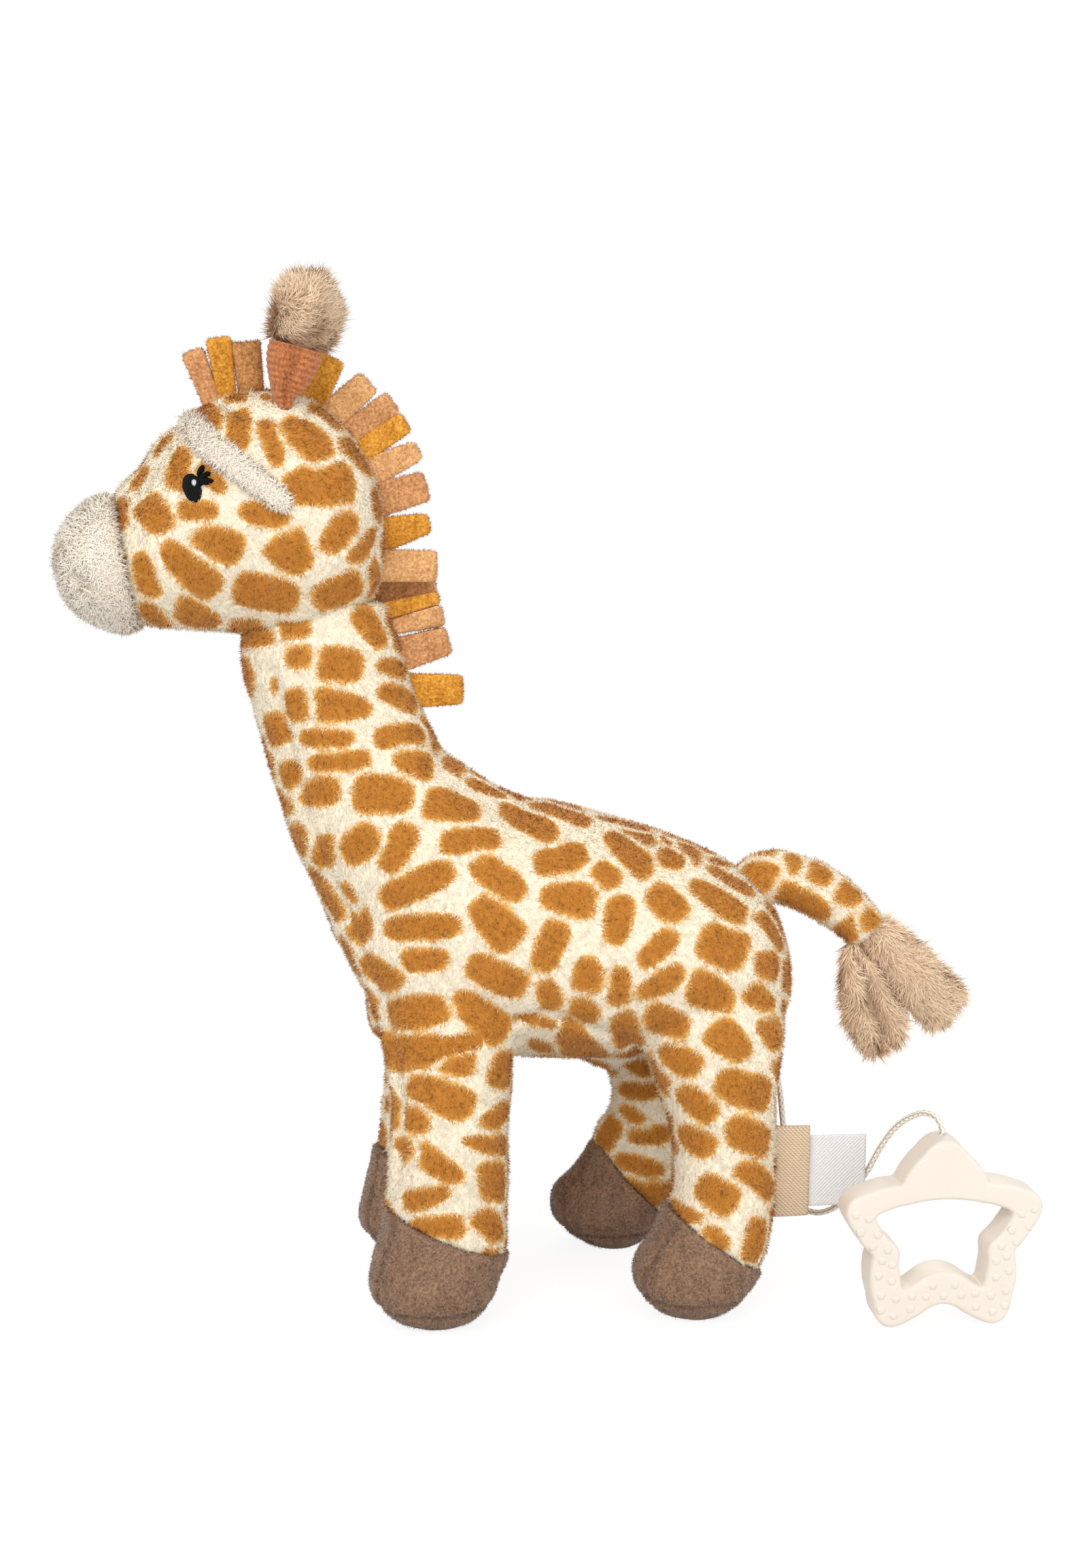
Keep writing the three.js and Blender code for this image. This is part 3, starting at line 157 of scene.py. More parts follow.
class Shading:
    """The nodes of one material, ending in a Principled shader, or of the world."""

    def __init__(self, name: str, world: bool = False) -> None:
        """Starts an empty material or world.

        Args:
            name: its name.
            world: makes a world.
        """
        self.material = (bpy.data.worlds if world else bpy.data.materials).new(name)
        self.material.use_nodes = True
        self.tree = self.material.node_tree
        self.tree.nodes.clear()
        self.out = self.tree.nodes.new(
            "ShaderNodeOutputWorld" if world else "ShaderNodeOutputMaterial")

    def add(self, kind: str, settings: dict[str, Any], sockets: dict[Any, Any],
            output: Union[int, str] = 0) -> Wire:
        """Adds a node, sets it up, and feeds its sockets.

        Args:
            kind: the node's type.
            settings: its own settings; "stops" are a ramp's places and colours.
            sockets: values or wires by socket name or number.
            output: which output to hand back.

        Returns:
            The node's output.
        """
        node = self.tree.nodes.new(kind)
        for key, value in settings.items():
            if key == "stops":
                ramp = node.color_ramp
                while len(ramp.elements) < len(value):
                    ramp.elements.new(0.5)
                for element, (place, colour) in zip(ramp.elements, value):
                    element.position, element.color = place, colour
            else:
                setattr(node, key, value)
        for key, value in sockets.items():
            if isinstance(value, Wire):
                self.tree.links.new(value.socket, node.inputs[key])
            else:
                node.inputs[key].default_value = value
        return Wire(self, node.outputs[output])

    def held(self, name: str, output: str = "Fac") -> Wire:
        """A value or colour that the mesh holds under this name."""
        return self.add("ShaderNodeAttribute", {"attribute_name": name}, {}, output)

    def place(self) -> Wire:
        """The point on the surface, in the object's own metres."""
        return self.add("ShaderNodeTexCoord", {}, {}, "Object")

    def grain(self, scale: float, detail: float = 2.0, at: Optional[Wire] = None,
              rough: float = 0.55) -> Wire:
        """Noise from 0 to 1, with so many grains per metre."""
        return self.add("ShaderNodeTexNoise", {}, {
            "Vector": at or self.place(), "Scale": scale, "Detail": detail, "Roughness": rough})

    def stretched(self, scale: Colour) -> Wire:
        """The surface point scaled by axis, for grain with a direction."""
        return self.add("ShaderNodeMapping", {}, {"Vector": self.place(), "Scale": scale})

    def ramp(self, value: Wire, stops: Sequence[tuple[float, Any]]) -> Wire:
        """A colour for each value between 0 and 1."""
        return self.add("ShaderNodeValToRGB", {"stops": stops}, {"Fac": value}, "Color")

    def mixed(self, share: Any, first: Any, second: Any, way: str = "MIX") -> Wire:
        """Two colours or wires mixed, with a share of the second."""
        return self.add("ShaderNodeMix", {"data_type": "RGBA", "blend_type": way}, {
            0: share, 6: first, 7: second}, 2)

    def bump(self, height: Wire, strength: float, depth: float) -> Wire:
        """A bumped normal, depth in metres."""
        return self.add("ShaderNodeBump", {}, {
            "Height": height, "Strength": strength, "Distance": depth})

    def finish(self, **sockets: Any) -> Material:
        """Closes the material with a Principled shader.

        Args:
            sockets: its inputs, with underscores for spaces.

        Returns:
            The material.
        """
        shader = self.add("ShaderNodeBsdfPrincipled", {}, {
            key.replace("_", " "): value for key, value in sockets.items()})
        self.tree.links.new(shader.socket, self.out.inputs["Surface"])
        return self.material


# ---- finishes


@dataclass(frozen=True)
class Finish:
    """A surface finish. Subclasses make its material."""

    name: str
    colour: Colour

    def material(self) -> Material:
        """The material, made once."""
        return bpy.data.materials.get(self.name) or self.make()

    def make(self) -> Material:
        """Builds the material's nodes."""
        raise NotImplementedError


@dataclass(frozen=True)
class PrintedPlush(Finish):
    """Short cream plush printed with brown spots that have a golden rim."""

    core: Colour = (0.83, 0.545, 0.225)
    middle: Colour = (0.86, 0.585, 0.26)
    rim: Colour = (0.93, 0.68, 0.33)
    fringe: Colour = (0.96, 0.79, 0.52)
    deepest: float = -2.8  # millimetres outside a spot's edge where the colours start
    reach: float = 5.0  # millimetres that they run over
    strands: bool = False

    def make(self) -> Material:
        """Colour by distance from the nearest spot's edge, broken up by the pile.

        Returns:
            The material.
        """
        s = Shading(self.name)
        inside = s.held("print")
        ragged = inside + (s.grain(900, 3) - 0.5) * 0.9 + (s.grain(190, 2) - 0.5) * 1.0
        if self.strands:
            ragged = ragged + (s.held("own") - 0.5) * 0.7
        printed = s.ramp((ragged - self.deepest) / self.reach, [
            (0.10, linear(self.core)), (0.36, linear(self.middle)), (0.50, linear(self.rim)),
            (0.58, linear(self.fringe)), (0.68, linear(self.colour))])
        fleck = s.grain(1500, 2, s.stretched((1, 1, 0.45)))
        deep = (0.4 - inside * 0.6).clamped()
        if self.strands:
            tip, own = s.held("tip"), s.held("own")
            # Painted shade and light: strands darker towards their roots, and inside spots darker
            # and lighter fibre clumps; own varies each strand's tone at random.
            shade = 0.94 + tip * 0.10 + (own - 0.5) * (0.10 + deep * 0.85)
            clump_shade = ((s.grain(820, 2, rough=0.6) - 0.5) * 8.0 + 0.55).clamped()
            shade = shade + (clump_shade - 0.5) * deep * 0.46
        else:
            shade = 0.80 + fleck * 0.26 - deep * 0.16
        tone = s.mixed(1.0, printed, s.mixed(shade, (0, 0, 0, 1), (1, 1, 1, 1)), "MULTIPLY")
        return s.finish(
            Base_Color=tone, Roughness=0.95, Specular_IOR_Level=0.12, Sheen_Weight=0.12,
            Sheen_Roughness=0.5, Normal=s.bump(fleck, 0.5, 0.0006))


@dataclass(frozen=True)
class LongPile(Finish):
    """Long plain pile, darker at its roots: painted shade among the strands."""

    # root: the colour of the painted shade at a strand's root
    root: Colour = (0.78, 0.70, 0.60)

    def make(self) -> Material:
        """Colour from root to tip, with each strand a little different.

        Returns:
            The material.
        """
        s = Shading(self.name)
        tip, own = s.held("tip"), s.held("own")
        # Painted shade: each strand darker towards its root; own and grain vary its tone at random.
        share = tip * 0.7 + (own - 0.5) * 0.8 + (s.grain(420, 2) - 0.5) * 0.7 + 0.3
        tone = s.mixed(share.clamped(), linear(self.root), linear(self.colour))
        return s.finish(
            Base_Color=tone, Roughness=0.9, Specular_IOR_Level=0.15, Sheen_Weight=0.15,
            Sheen_Roughness=0.45, Normal=s.bump(s.grain(1300, 2), 0.4, 0.0005))


@dataclass(frozen=True)
class ShortVelour(Finish):
    """Short velour, brushed one way, with lighter streaks: painted sheen where the nap lies another
    way.
    """

    # light: the colour of the painted sheen of the nap
    light: Colour = (0.5, 0.5, 0.5)
    strands: bool = False

    def make(self) -> Material:
        """Colour mottled by how the nap lies, as painted sheen and shade.

        Returns:
            The material.
        """
        s = Shading(self.name)
        nap = s.grain(330, 3, s.stretched((1, 1, 0.5)))
        fine = s.grain(1250, 2)
        share = (nap - 0.5) * 1.2 + (fine - 0.5) * 2.4 + 0.55
        if self.strands:
            # Painted shade: strands darker towards their roots; own varies each strand's tone at
            # random.
            share = share * 0.45 + s.held("tip") * 0.4 + (s.held("own") - 0.5) * 0.9 + 0.05
        tone = s.mixed(share.clamped(), linear(self.colour), linear(self.light))
        # Darker along the seams: painted shade in their grooves.
        tone = s.mixed(s.held("seam") * 0.5, tone, linear(tuple(c * 0.5 for c in self.colour)))
        return s.finish(
            Base_Color=tone, Roughness=0.88, Specular_IOR_Level=0.2, Sheen_Weight=0.25,
            Sheen_Roughness=0.4, Normal=s.bump(nap * 0.5 + fine * 0.5, 0.7, 0.0007))


@dataclass(frozen=True)
class RibbedCloth(Finish):
    """Ribbed cloth: the ribs are in the mesh, the yarn is here."""

    # dark: the colour of dark yarn and of the painted shade between ribs
    dark: Colour = (0.55, 0.30, 0.18)

    def make(self) -> Material:
        """Yarn loops along each rib, with painted shade between the ribs.

        Returns:
            The material.
        """
        s = Shading(self.name)
        yarn = s.grain(1600, 3, s.stretched((1.0, 1.0, 0.7)))
        # Painted shade between the ribs and in folds, held on the mesh; the yarn term varies at
        # random.
        share = (s.held("valley") * 0.4 + (yarn - 0.5) * 2.0 + 0.16).clamped()
        tone = s.mixed(share, linear(self.colour), linear(self.dark))
        return s.finish(
            Base_Color=tone, Roughness=0.92, Specular_IOR_Level=0.15, Sheen_Weight=0.2,
            Sheen_Roughness=0.5, Normal=s.bump(yarn, 0.8, 0.0006))


class Weave(Enum):
    """How a tape is woven."""

    TWILL = "twill"
    SATIN = "satin"


@dataclass(frozen=True)
class WovenTape(Finish):
    """A bare label tape."""

    thread: Colour = (0.6, 0.5, 0.4)
    weave: Weave = Weave.TWILL

    def make(self) -> Material:
        """Diagonal ribs for twill, fine threads across for satin.

        Returns:
            The material.
        """
        s = Shading(self.name)
        slant, fine, rough = {
            Weave.TWILL: (5200.0, 9000.0, 0.75), Weave.SATIN: (-5600.0, 11000.0, 0.42)}[self.weave]
        x, y = s.held("warp"), s.held("weft")
        rib = (x * abs(slant) + y * slant).sine() * 0.5 + 0.5
        thread = (y * fine).sine() * 0.5 + 0.5
        share = (rib * 0.55 + thread * 0.2 + s.grain(1400, 2) * 0.35).clamped()
        tone = s.mixed(share, linear(self.thread), linear(self.colour))
        return s.finish(
            Base_Color=tone, Roughness=rough, Specular_IOR_Level=0.3,
            Normal=s.bump(rib * 0.7 + thread * 0.3, 0.5, 0.0003))


@dataclass(frozen=True)
class BraidedCord(Finish):
    """Braided white cord: crossing strands from the turn and run held on the mesh."""

    # gap: the colour of the painted shade between the braid's strands
    gap: Colour = (0.84, 0.82, 0.78)
    strands: float = 4.0
    twist: float = 3300.0  # radians per metre of run

    def make(self) -> Material:
        """Two sets of strands that cross each other, with painted shade in the gaps between them.

        Returns:
            The material.
        """
        s = Shading(self.name)
        turn, run = s.held("turn") * self.strands, s.held("run") * self.twist
        height = (turn + run).sine().most((turn - run).sine()) * 0.5 + 0.5
        share = (height * 1.25 + (s.grain(3000, 2) - 0.5) * 0.4).clamped()
        tone = s.mixed(share, linear(self.gap), linear(self.colour))
        return s.finish(
            Base_Color=tone, Roughness=0.8, Specular_IOR_Level=0.2, Sheen_Weight=0.1,
            Normal=s.bump(height, 0.8, 0.0004))


@dataclass(frozen=True)
class StarSilicone(Finish):
    """Soft silicone with a fine matt moulding and a faint bloom."""

    bloom: Colour = (1.0, 0.96, 0.91)

    def make(self) -> Material:
        """A satin surface, a little uneven, that lets some light in.

        Returns:
            The material.
        """
        s = Shading(self.name)
        cloud = s.grain(60, 3)
        pebble = s.grain(2600, 2)
        tone = s.mixed((cloud - 0.3).clamped(), linear(self.colour), linear(self.bloom))
        return s.finish(
            Base_Color=tone, Roughness=0.42 + (pebble - 0.5) * 0.16, Specular_IOR_Level=0.35,
            Subsurface_Weight=0.05, Subsurface_Radius=(0.004, 0.0025, 0.0015), Subsurface_Scale=1.0,
            Normal=s.bump(pebble * 0.6 + cloud * 0.4, 0.12, 0.0003))


@dataclass(frozen=True)
class EyeThread(Finish):
    """Satin stitch in glossy thread."""

    sheen: Colour = (0.22, 0.21, 0.21)

    def make(self) -> Material:
        """Stitches side by side, each with a painted sheen line along its crest.

        Returns:
            The material.
        """
        s = Shading(self.name)
        stitch = s.held("stitch").sine() * 0.5 + 0.5
        tone = s.mixed(stitch ** 3.0, linear(self.colour), linear(self.sheen))
        return s.finish(
            Base_Color=tone, Roughness=0.5 + (1.0 - stitch) * 0.25, Specular_IOR_Level=0.2,
            Normal=s.bump(stitch, 0.9, 0.0004))


@dataclass(frozen=True)
class MouldedPlastic(Finish):
    """Moulded plastic with a light spark-eroded texture."""

    rough: float = 0.5

    def make(self) -> Material:
        """Fine texture, faint flow clouds.

        Returns:
            The material.
        """
        s = Shading(self.name)
        pebble, cloud = s.grain(2400, 2), s.grain(90, 3)
        tone = s.mixed(cloud * 0.25, linear(self.colour), linear((0.7, 0.69, 0.66)))
        return s.finish(
            Base_Color=tone, Roughness=self.rough + (pebble - 0.5) * 0.2, Specular_IOR_Level=0.4,
            Normal=s.bump(pebble, 0.2, 0.0002))


@dataclass(frozen=True)
class BareMetal(Finish):
    """Rolled or turned metal."""

    rough: float = 0.3

    def make(self) -> Material:
        """Drawn grain, with a duller film in patches.

        Returns:
            The material.
        """
        s = Shading(self.name)
        drawn = s.grain(1500, 3, s.stretched((1, 0.05, 1)))
        film = s.grain(120, 3)
        dull = linear(tuple(c * 0.6 for c in self.colour))
        tone = s.mixed(film * 0.35, linear(self.colour), dull)
        return s.finish(
            Base_Color=tone, Metallic=1.0, Roughness=self.rough + (drawn - 0.5) * 0.2 + film * 0.08,
            Normal=s.bump(drawn, 0.25, 0.0001))


SPOTTED = PrintedPlush("spotted plush", (0.995, 0.945, 0.845))
SPOTTED_PILE = PrintedPlush("spotted plush pile", (1.0, 0.955, 0.865), strands=True)
# The root colours of these long piles are painted shade among their strands.
CREAM_PILE = LongPile("cream pile", (0.995, 0.965, 0.91), root=(0.94, 0.88, 0.80))
BEIGE_PILE = LongPile("beige pile", (1.0, 0.89, 0.76), root=(0.76, 0.61, 0.47))
PALE_PILE = LongPile("pale beige pile", (0.95, 0.84, 0.71), root=(0.70, 0.56, 0.42))
HOOF = ShortVelour("hoof velour", (0.39, 0.30, 0.235), light=(0.61, 0.48, 0.385))
HOOF_NAP = ShortVelour("hoof nap", (0.40, 0.305, 0.24), light=(0.77, 0.62, 0.50), strands=True)
RUST_RIB = RibbedCloth("rust rib", (0.79, 0.495, 0.30), dark=(0.42, 0.22, 0.11))
MUSTARD = ShortVelour("mustard ribbon", (0.68, 0.42, 0.09), light=(0.93, 0.67, 0.27))
APRICOT = ShortVelour("apricot ribbon", (0.73, 0.51, 0.30), light=(0.93, 0.73, 0.51))
ROSE = ShortVelour("rose ribbon", (0.66, 0.43, 0.26), light=(0.89, 0.67, 0.46))
TAN = ShortVelour("tan ribbon", (0.60, 0.38, 0.20), light=(0.85, 0.63, 0.40))
NAPS = {base: ShortVelour(base.name + " nap", base.colour, light=base.light, strands=True)
        for base in (MUSTARD, APRICOT, ROSE, TAN)}
THREAD = EyeThread("black thread", (0.01, 0.01, 0.012), sheen=(0.08, 0.08, 0.08))
GLINT = EyeThread("white thread", (0.85, 0.85, 0.86), sheen=(1, 1, 1))
TWILL = WovenTape("woven tape", (0.90, 0.81, 0.69), thread=(0.62, 0.53, 0.42))
SATIN = WovenTape("satin tape", (0.93, 0.925, 0.92), thread=(0.78, 0.77, 0.765), weave=Weave.SATIN)
SILICONE = StarSilicone("star silicone", (0.875, 0.835, 0.785), bloom=(0.90, 0.865, 0.82))
CORD_WHITE = BraidedCord("cord braid", (0.98, 0.95, 0.91), gap=(0.83, 0.77, 0.70))
CASE = MouldedPlastic("case plastic", (0.91, 0.90, 0.88))
NYLON = MouldedPlastic("nylon", (0.945, 0.935, 0.885), rough=0.4)
BRASS = BareMetal("brass", (0.79, 0.64, 0.31))
STEEL = BareMetal("steel", (0.73, 0.74, 0.75))
WINDING = MouldedPlastic("wound cord", (0.93, 0.92, 0.9), rough=0.8)


# ---- the photograph's view


@dataclass(frozen=True)
class PhotoView:
    """The camera of the photograph, and where its pixels point."""

    azimuth: float = -6.0
    elevation: float = 8.0
    reach: float = 0.650
    metres_per_pixel: float = 0.0002
    width: int = 1596
    height: int = 2306
    target: Colour = (-0.000572, 0.002406, 0.151745)
    sensor: float = 36.0

    @property
    def back(self) -> np.ndarray:
        """From the target towards the camera."""
        a, e = math.radians(self.azimuth), math.radians(self.elevation)
        return np.array([math.sin(a) * math.cos(e), -math.cos(a) * math.cos(e), math.sin(e)])

    @property
    def eye(self) -> np.ndarray:
        """Where the camera stands."""
        return np.array(self.target) + self.back * self.reach

    @property
    def focal(self) -> float:
        """Focal length in pixels."""
        return self.reach / self.metres_per_pixel

    def axes(self) -> tuple[np.ndarray, np.ndarray]:
        """The picture's right and up directions.

        Returns:
            Two unit vectors.
        """
        a = math.radians(self.azimuth)
        right = np.array([math.cos(a), math.sin(a), 0.0])
        return right, np.cross(self.back, right)

    def ray(self, u: float, v: float) -> np.ndarray:
        """The direction in which a pixel looks.

        Args:
            u: pixels from the left.
            v: pixels from the top.

        Returns:
            A unit vector.
        """
        right, up = self.axes()
        seen = (right * (u - self.width / 2) - up * (v - self.height / 2)) / self.focal - self.back
        return seen / np.linalg.norm(seen)

    def build(self) -> None:
        """Adds the camera and makes it the scene's."""
        camera = linked("camera", bpy.data.cameras.new("camera"))
        camera.data.sensor_fit = "VERTICAL"
        camera.data.sensor_height = self.sensor
        camera.data.lens = self.sensor * self.focal / self.height
        camera.data.clip_start = 0.01
        camera.location = Vector(self.eye)
        camera.rotation_euler = Vector(-self.back).to_track_quat("-Z", "Y").to_euler()
        bpy.context.scene.camera = camera


# ---- meshes and skins


def mesh_piece(name: str, points: Any, faces: Any, finish: Finish, smooth: bool = True
               ) -> Object:
    """A mesh object from points in metres.

    Args:
        name: the piece's name.
        points: its vertices.
        faces: its faces, as lists of vertex numbers.
        finish: its finish.
        smooth: shades it smooth.

    Returns:
        The object, linked to the scene.
    """
    mesh = bpy.data.meshes.new(name)
    mesh.from_pydata([tuple(p) for p in points], [], [tuple(int(i) for i in f) for f in faces])
    body = bmesh.new()
    body.from_mesh(mesh)
    bmesh.ops.recalc_face_normals(body, faces=body.faces)
    body.to_mesh(mesh)
    body.free()
    mesh.polygons.foreach_set("use_smooth", [smooth] * len(mesh.polygons))
    mesh.materials.append(finish.material())
    return linked(name, mesh)


def hold(mesh: Mesh, **held: Any) -> None:
    """Keeps one number per vertex on a mesh, for its shader.

    Args:
        mesh: the mesh.
        held: by name, the numbers, or one number for every vertex.
    """
    for name, values in held.items():
        layer = mesh.attributes.get(name) or mesh.attributes.new(name, "FLOAT", "POINT")
        layer.data.foreach_set("value", np.full(len(mesh.vertices), values, np.float32))


def read(items: Any, key: str, kind: type = float, wide: int = 3) -> np.ndarray:
    """Reads a value of each vertex, edge or triangle of a mesh.

    Args:
        items: the mesh's vertices, edges or triangles.
        key: the value's name.
        kind: the numbers' type.
        wide: how many numbers each has.

    Returns:
        One row per item.
    """
    out = np.empty(len(items) * wide, kind)
    items.foreach_get(key, out)
    return out.reshape(-1, wide)


def vertex_normals(mesh: Mesh) -> np.ndarray:
    """Which way the surface faces at each vertex of a mesh."""
    return read(mesh.vertex_normals, "vector", np.float32).astype(float)


def near_search(points: Sequence[Any]) -> KDTree:
    """A search tree of points.

    Args:
        points: the points.

    Returns:
        The tree, balanced.
    """
    search = KDTree(len(points))
    for i, point in enumerate(points):
        search.insert(Vector(point), i)
    search.balance()
    return search


def dressed(piece: Object, slot: str, *nodes: str, body: str = "giraffe",
            fill: Optional[float] = None) -> None:
    """Attaches a piece to the body that it rides on and hides the CAD nodes that it stands for.

    Args:
        piece: the piece.
        slot: the record's slot; not used.
        nodes: the CAD nodes that it stands for, if any.
        body: the body that it rides on.
        fill: how full it is stuffed, if it is; not used.
    """
    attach(piece, body)
    if nodes:
        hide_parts(*nodes)


def smooth_rows(rows: np.ndarray, count: int) -> np.ndarray:
    """A table's rows made finer along a smooth curve.

    Args:
        rows: one row per station.
        count: how many rows to make.

    Returns:
        The finer rows.
    """
    t = np.concatenate([[0], np.cumsum(np.linalg.norm(np.diff(rows, axis=0), axis=1))])
    fine = np.linspace(0, t[-1], count)
    slope = np.gradient(rows, t, axis=0)
    i = np.clip(np.searchsorted(t, fine, side="right") - 1, 0, len(t) - 2)
    h = (t[i + 1] - t[i])[:, None]
    s = (fine - t[i])[:, None] / h
    return ((2 * s**3 - 3 * s**2 + 1) * rows[i] + (s**3 - 2 * s**2 + s) * h * slope[i]
            + (3 * s**2 - 2 * s**3) * rows[i + 1] + (s**3 - s**2) * h * slope[i + 1])


def tube(centre: np.ndarray, ways: tuple[Any, Any], reaches: tuple[Any, Any], around: int
         ) -> np.ndarray:
    """Rings of points round a line.

    Args:
        centre: the line's points.
        ways: two directions that span each ring.
        reaches: half the ring's size along each, by point.
        around: points on each ring.

    Returns:
        The points, by ring and turn.
    """
    turn = 2 * np.pi * np.arange(around) / around
    ring = centre[:, None]
    for way, reach, wave in zip(ways, reaches, (np.cos(turn), np.sin(turn))):
        ring = ring + np.broadcast_to(way, centre.shape)[:, None] * (
            wave[None, :, None] * np.asarray(reach)[:, None, None])
    return ring


def tube_faces(count: int, around: int) -> list[list[int]]:
    """Faces of a closed tube whose points end with the middles of its two ends.

    Args:
        count: its rings.
        around: points on each ring.

    Returns:
        The faces.
    """
    grid = np.arange(count * around).reshape(count, around)
    after = np.roll(grid, -1, axis=1)
    faces = [[grid[i, k], after[i, k], after[i + 1, k], grid[i + 1, k]]
             for i in range(count - 1) for k in range(around)]
    for k in range(around):
        faces += [[after[0, k], grid[0, k], grid.size], [grid[-1, k], after[-1, k], grid.size + 1]]
    return faces


def ring_piece(name: str, ring: np.ndarray, finish: Finish) -> Object:
    """A closed tube through rings of points.

    Args:
        name: the piece's name.
        ring: points by ring and turn, in metres.
        finish: its finish.

    Returns:
        The piece.
    """
    points = np.concatenate([ring.reshape(-1, 3), ring[:1].mean(1), ring[-1:].mean(1)])
    return mesh_piece(name, points, tube_faces(*ring.shape[:2]), finish)


@dataclass(frozen=True)
class SoftForm:
    """A stuffed form swept along its spine. Most tables are those of the form's solid."""

    place: Colour
    span: Colour
    girth: tuple[float, float]
    shares: Sequence[Sequence[float]]
    axis: Optional[tuple[float, float]] = None

    def moved(self, x: float, y: float, z: float) -> "SoftForm":
        """The same form in another place."""
        return replace(self, place=(self.place[0] + x, self.place[1] + y, self.place[2] + z))

    def at(self, x: float, y: float, z: float) -> np.ndarray:
        """A layout point, from shares of the form's length and height, and its y."""
        return np.array([self.place[0] + x * self.span[0], y, self.place[2] + z * self.span[2]])

    def loft(self, count: int = 72, around: int = 56, grow: float = 0.0
             ) -> tuple[np.ndarray, list[list[int]]]:
        """A closed mesh of the form.

        Args:
            count: rings along it.
            around: points on each ring.
            grow: millimetres added all round.

        Returns:
            Points in layout millimetres, and faces.
        """
        rows = smooth_rows(np.array([
            [*self.at(x, self.place[1] + sum(y) * self.span[1], z), across * self.girth[0],
             side * self.girth[1]] for x, z, across, side, *y in self.shares]), count)
        centre = rows[:, :3]
        if self.axis:
            along = np.tile([self.axis[0], 0.0, self.axis[1]], (count, 1))
        else:
            along = np.gradient(centre, axis=0)
            along[:, 1] = 0
        along = unit(along)
        across = np.stack([along[:, 2], np.zeros(count), -along[:, 0]], 1)
        centre = centre + along * grow * np.linspace(-1, 1, count)[:, None] ** 3
        halves = np.maximum(rows[:, 3:] + grow, LEAST_HALF).T
        ring = tube(centre, (across, ACROSS), halves, around)
        points = np.concatenate([ring.reshape(-1, 3), centre[:1], centre[-1:]])
        return points, tube_faces(count, around)


class Skin:
    """A piece of cloth over stuffing: a mesh whose points can be relaxed, dented and printed."""

    pull = 0.5  # how far each vertex goes towards its neighbours
    track_step = 0.6 * MM
    batch = 4000  # how many points are compared with a track at a time

    def __init__(self, name: str, shells: Sequence[tuple[np.ndarray, list]], finish: Finish,
                 voxel: float, relaxed: int) -> None:
        """Joins closed shells into one skin and evens it out.

        Args:
            name: the piece's name.
            shells: points in layout millimetres and faces of each shell.
            finish: its finish.
            voxel: grid of the joined mesh, in millimetres.
            relaxed: how many rounds of smoothing.
        """
        points, faces, start = [], [], 0
        for p, f in shells:
            points.append(in_frame(p))
            faces += [[i + start for i in face] for face in f]
            start += len(p)
        self.piece = mesh_piece(name, np.concatenate(points), faces, finish)
        grid = self.piece.modifiers.new("cloth", "REMESH")
        grid.mode, grid.voxel_size = "VOXEL", voxel * MM
        seen = self.piece.evaluated_get(bpy.context.evaluated_depsgraph_get())
        mesh = bpy.data.meshes.new_from_object(seen)
        self.piece.modifiers.clear()
        self.piece.data = mesh
        mesh.polygons.foreach_set("use_smooth", [True] * len(mesh.polygons))
        self.relax(relaxed)

    @property
    def mesh(self) -> Mesh:
        """The skin's mesh."""
        return self.piece.data

    def points(self) -> np.ndarray:
        """Vertex places in metres."""
        return read(self.mesh.vertices, "co")

    def normals(self) -> np.ndarray:
        """Vertex normals."""
        return vertex_normals(self.mesh)

    def put(self, points: np.ndarray) -> None:
        """Moves the vertices."""
        self.mesh.vertices.foreach_set("co", points.ravel())
        self.mesh.update()

    def relax(self, rounds: int) -> None:
        """Evens the surface out without shrinking it.

        Args:
            rounds: how many times.
        """
        edges = read(self.mesh.edges, "vertices", np.int64, 2)
        co = self.points()
        count = len(co)
        degree = np.maximum(np.bincount(edges.ravel(), minlength=count), 1)[:, None]
        for _ in range(rounds):
            for step in (self.pull, -self.pull * 1.03):
                total = np.stack([
                    np.bincount(edges[:, 0], co[edges[:, 1], k], count)
                    + np.bincount(edges[:, 1], co[edges[:, 0], k], count) for k in range(3)], 1)
                co = co + step * (total / degree - co)
        self.put(co)

    def tree(self) -> BVHTree:
        """A search tree of its faces."""
        return BVHTree.FromPolygons(
            [Vector(p) for p in self.points()], [list(f.vertices) for f in self.mesh.polygons])

    def dent(self, track: np.ndarray, width: float, depth: float) -> None:
        """Presses a groove along a track.

        Args:
            track: points in metres.
            width: half the groove's width in millimetres.
            depth: its depth in millimetres, below zero for a ridge.
        """
        co, away = self.points(), np.full(len(self.mesh.vertices), 1e9)
        dense = np.concatenate([
            np.linspace(a, b, max(2, int(np.linalg.norm(b - a) / self.track_step)))
            for a, b in zip(track[:-1], track[1:])])
        low, high = dense.min(0) - width * MM, dense.max(0) + width * MM
        near = np.flatnonzero(((co > low) & (co < high)).all(1))
        for start in range(0, len(near), self.batch):
            part = near[start:start + self.batch]
            away[part] = np.linalg.norm(co[part][:, None, :] - dense[None], axis=2).min(1)
        share = np.clip(1 - (away / (width * MM)) ** 2, 0, 1) ** 2
        self.put(co - self.normals() * (share * depth * MM)[:, None])

    def dent_sides(self, track: np.ndarray, width: float, depth: float) -> None:
        """Presses the same groove on both sides of the toy."""
        self.dent(track, width, depth)
        self.dent(mirrored(track), width, depth)

    def crumple(self, scale: float, depth: float, seed: int) -> None:
        """Slow unevenness of stuffing under cloth.

        Args:
            scale: size of the lumps in millimetres.
            depth: how far they move the cloth, in millimetres.
            seed: which pattern.
        """
        co = self.points()
        shift = Vector((seed * 3.1, seed * 1.7, seed * 0.9))
        lumps = np.array([noise.noise(Vector(p) / (scale * MM) + shift) for p in co])
        self.put(co + self.normals() * (lumps * depth * MM)[:, None])


PIXEL_STEP = 8  # pixels between two places of a track


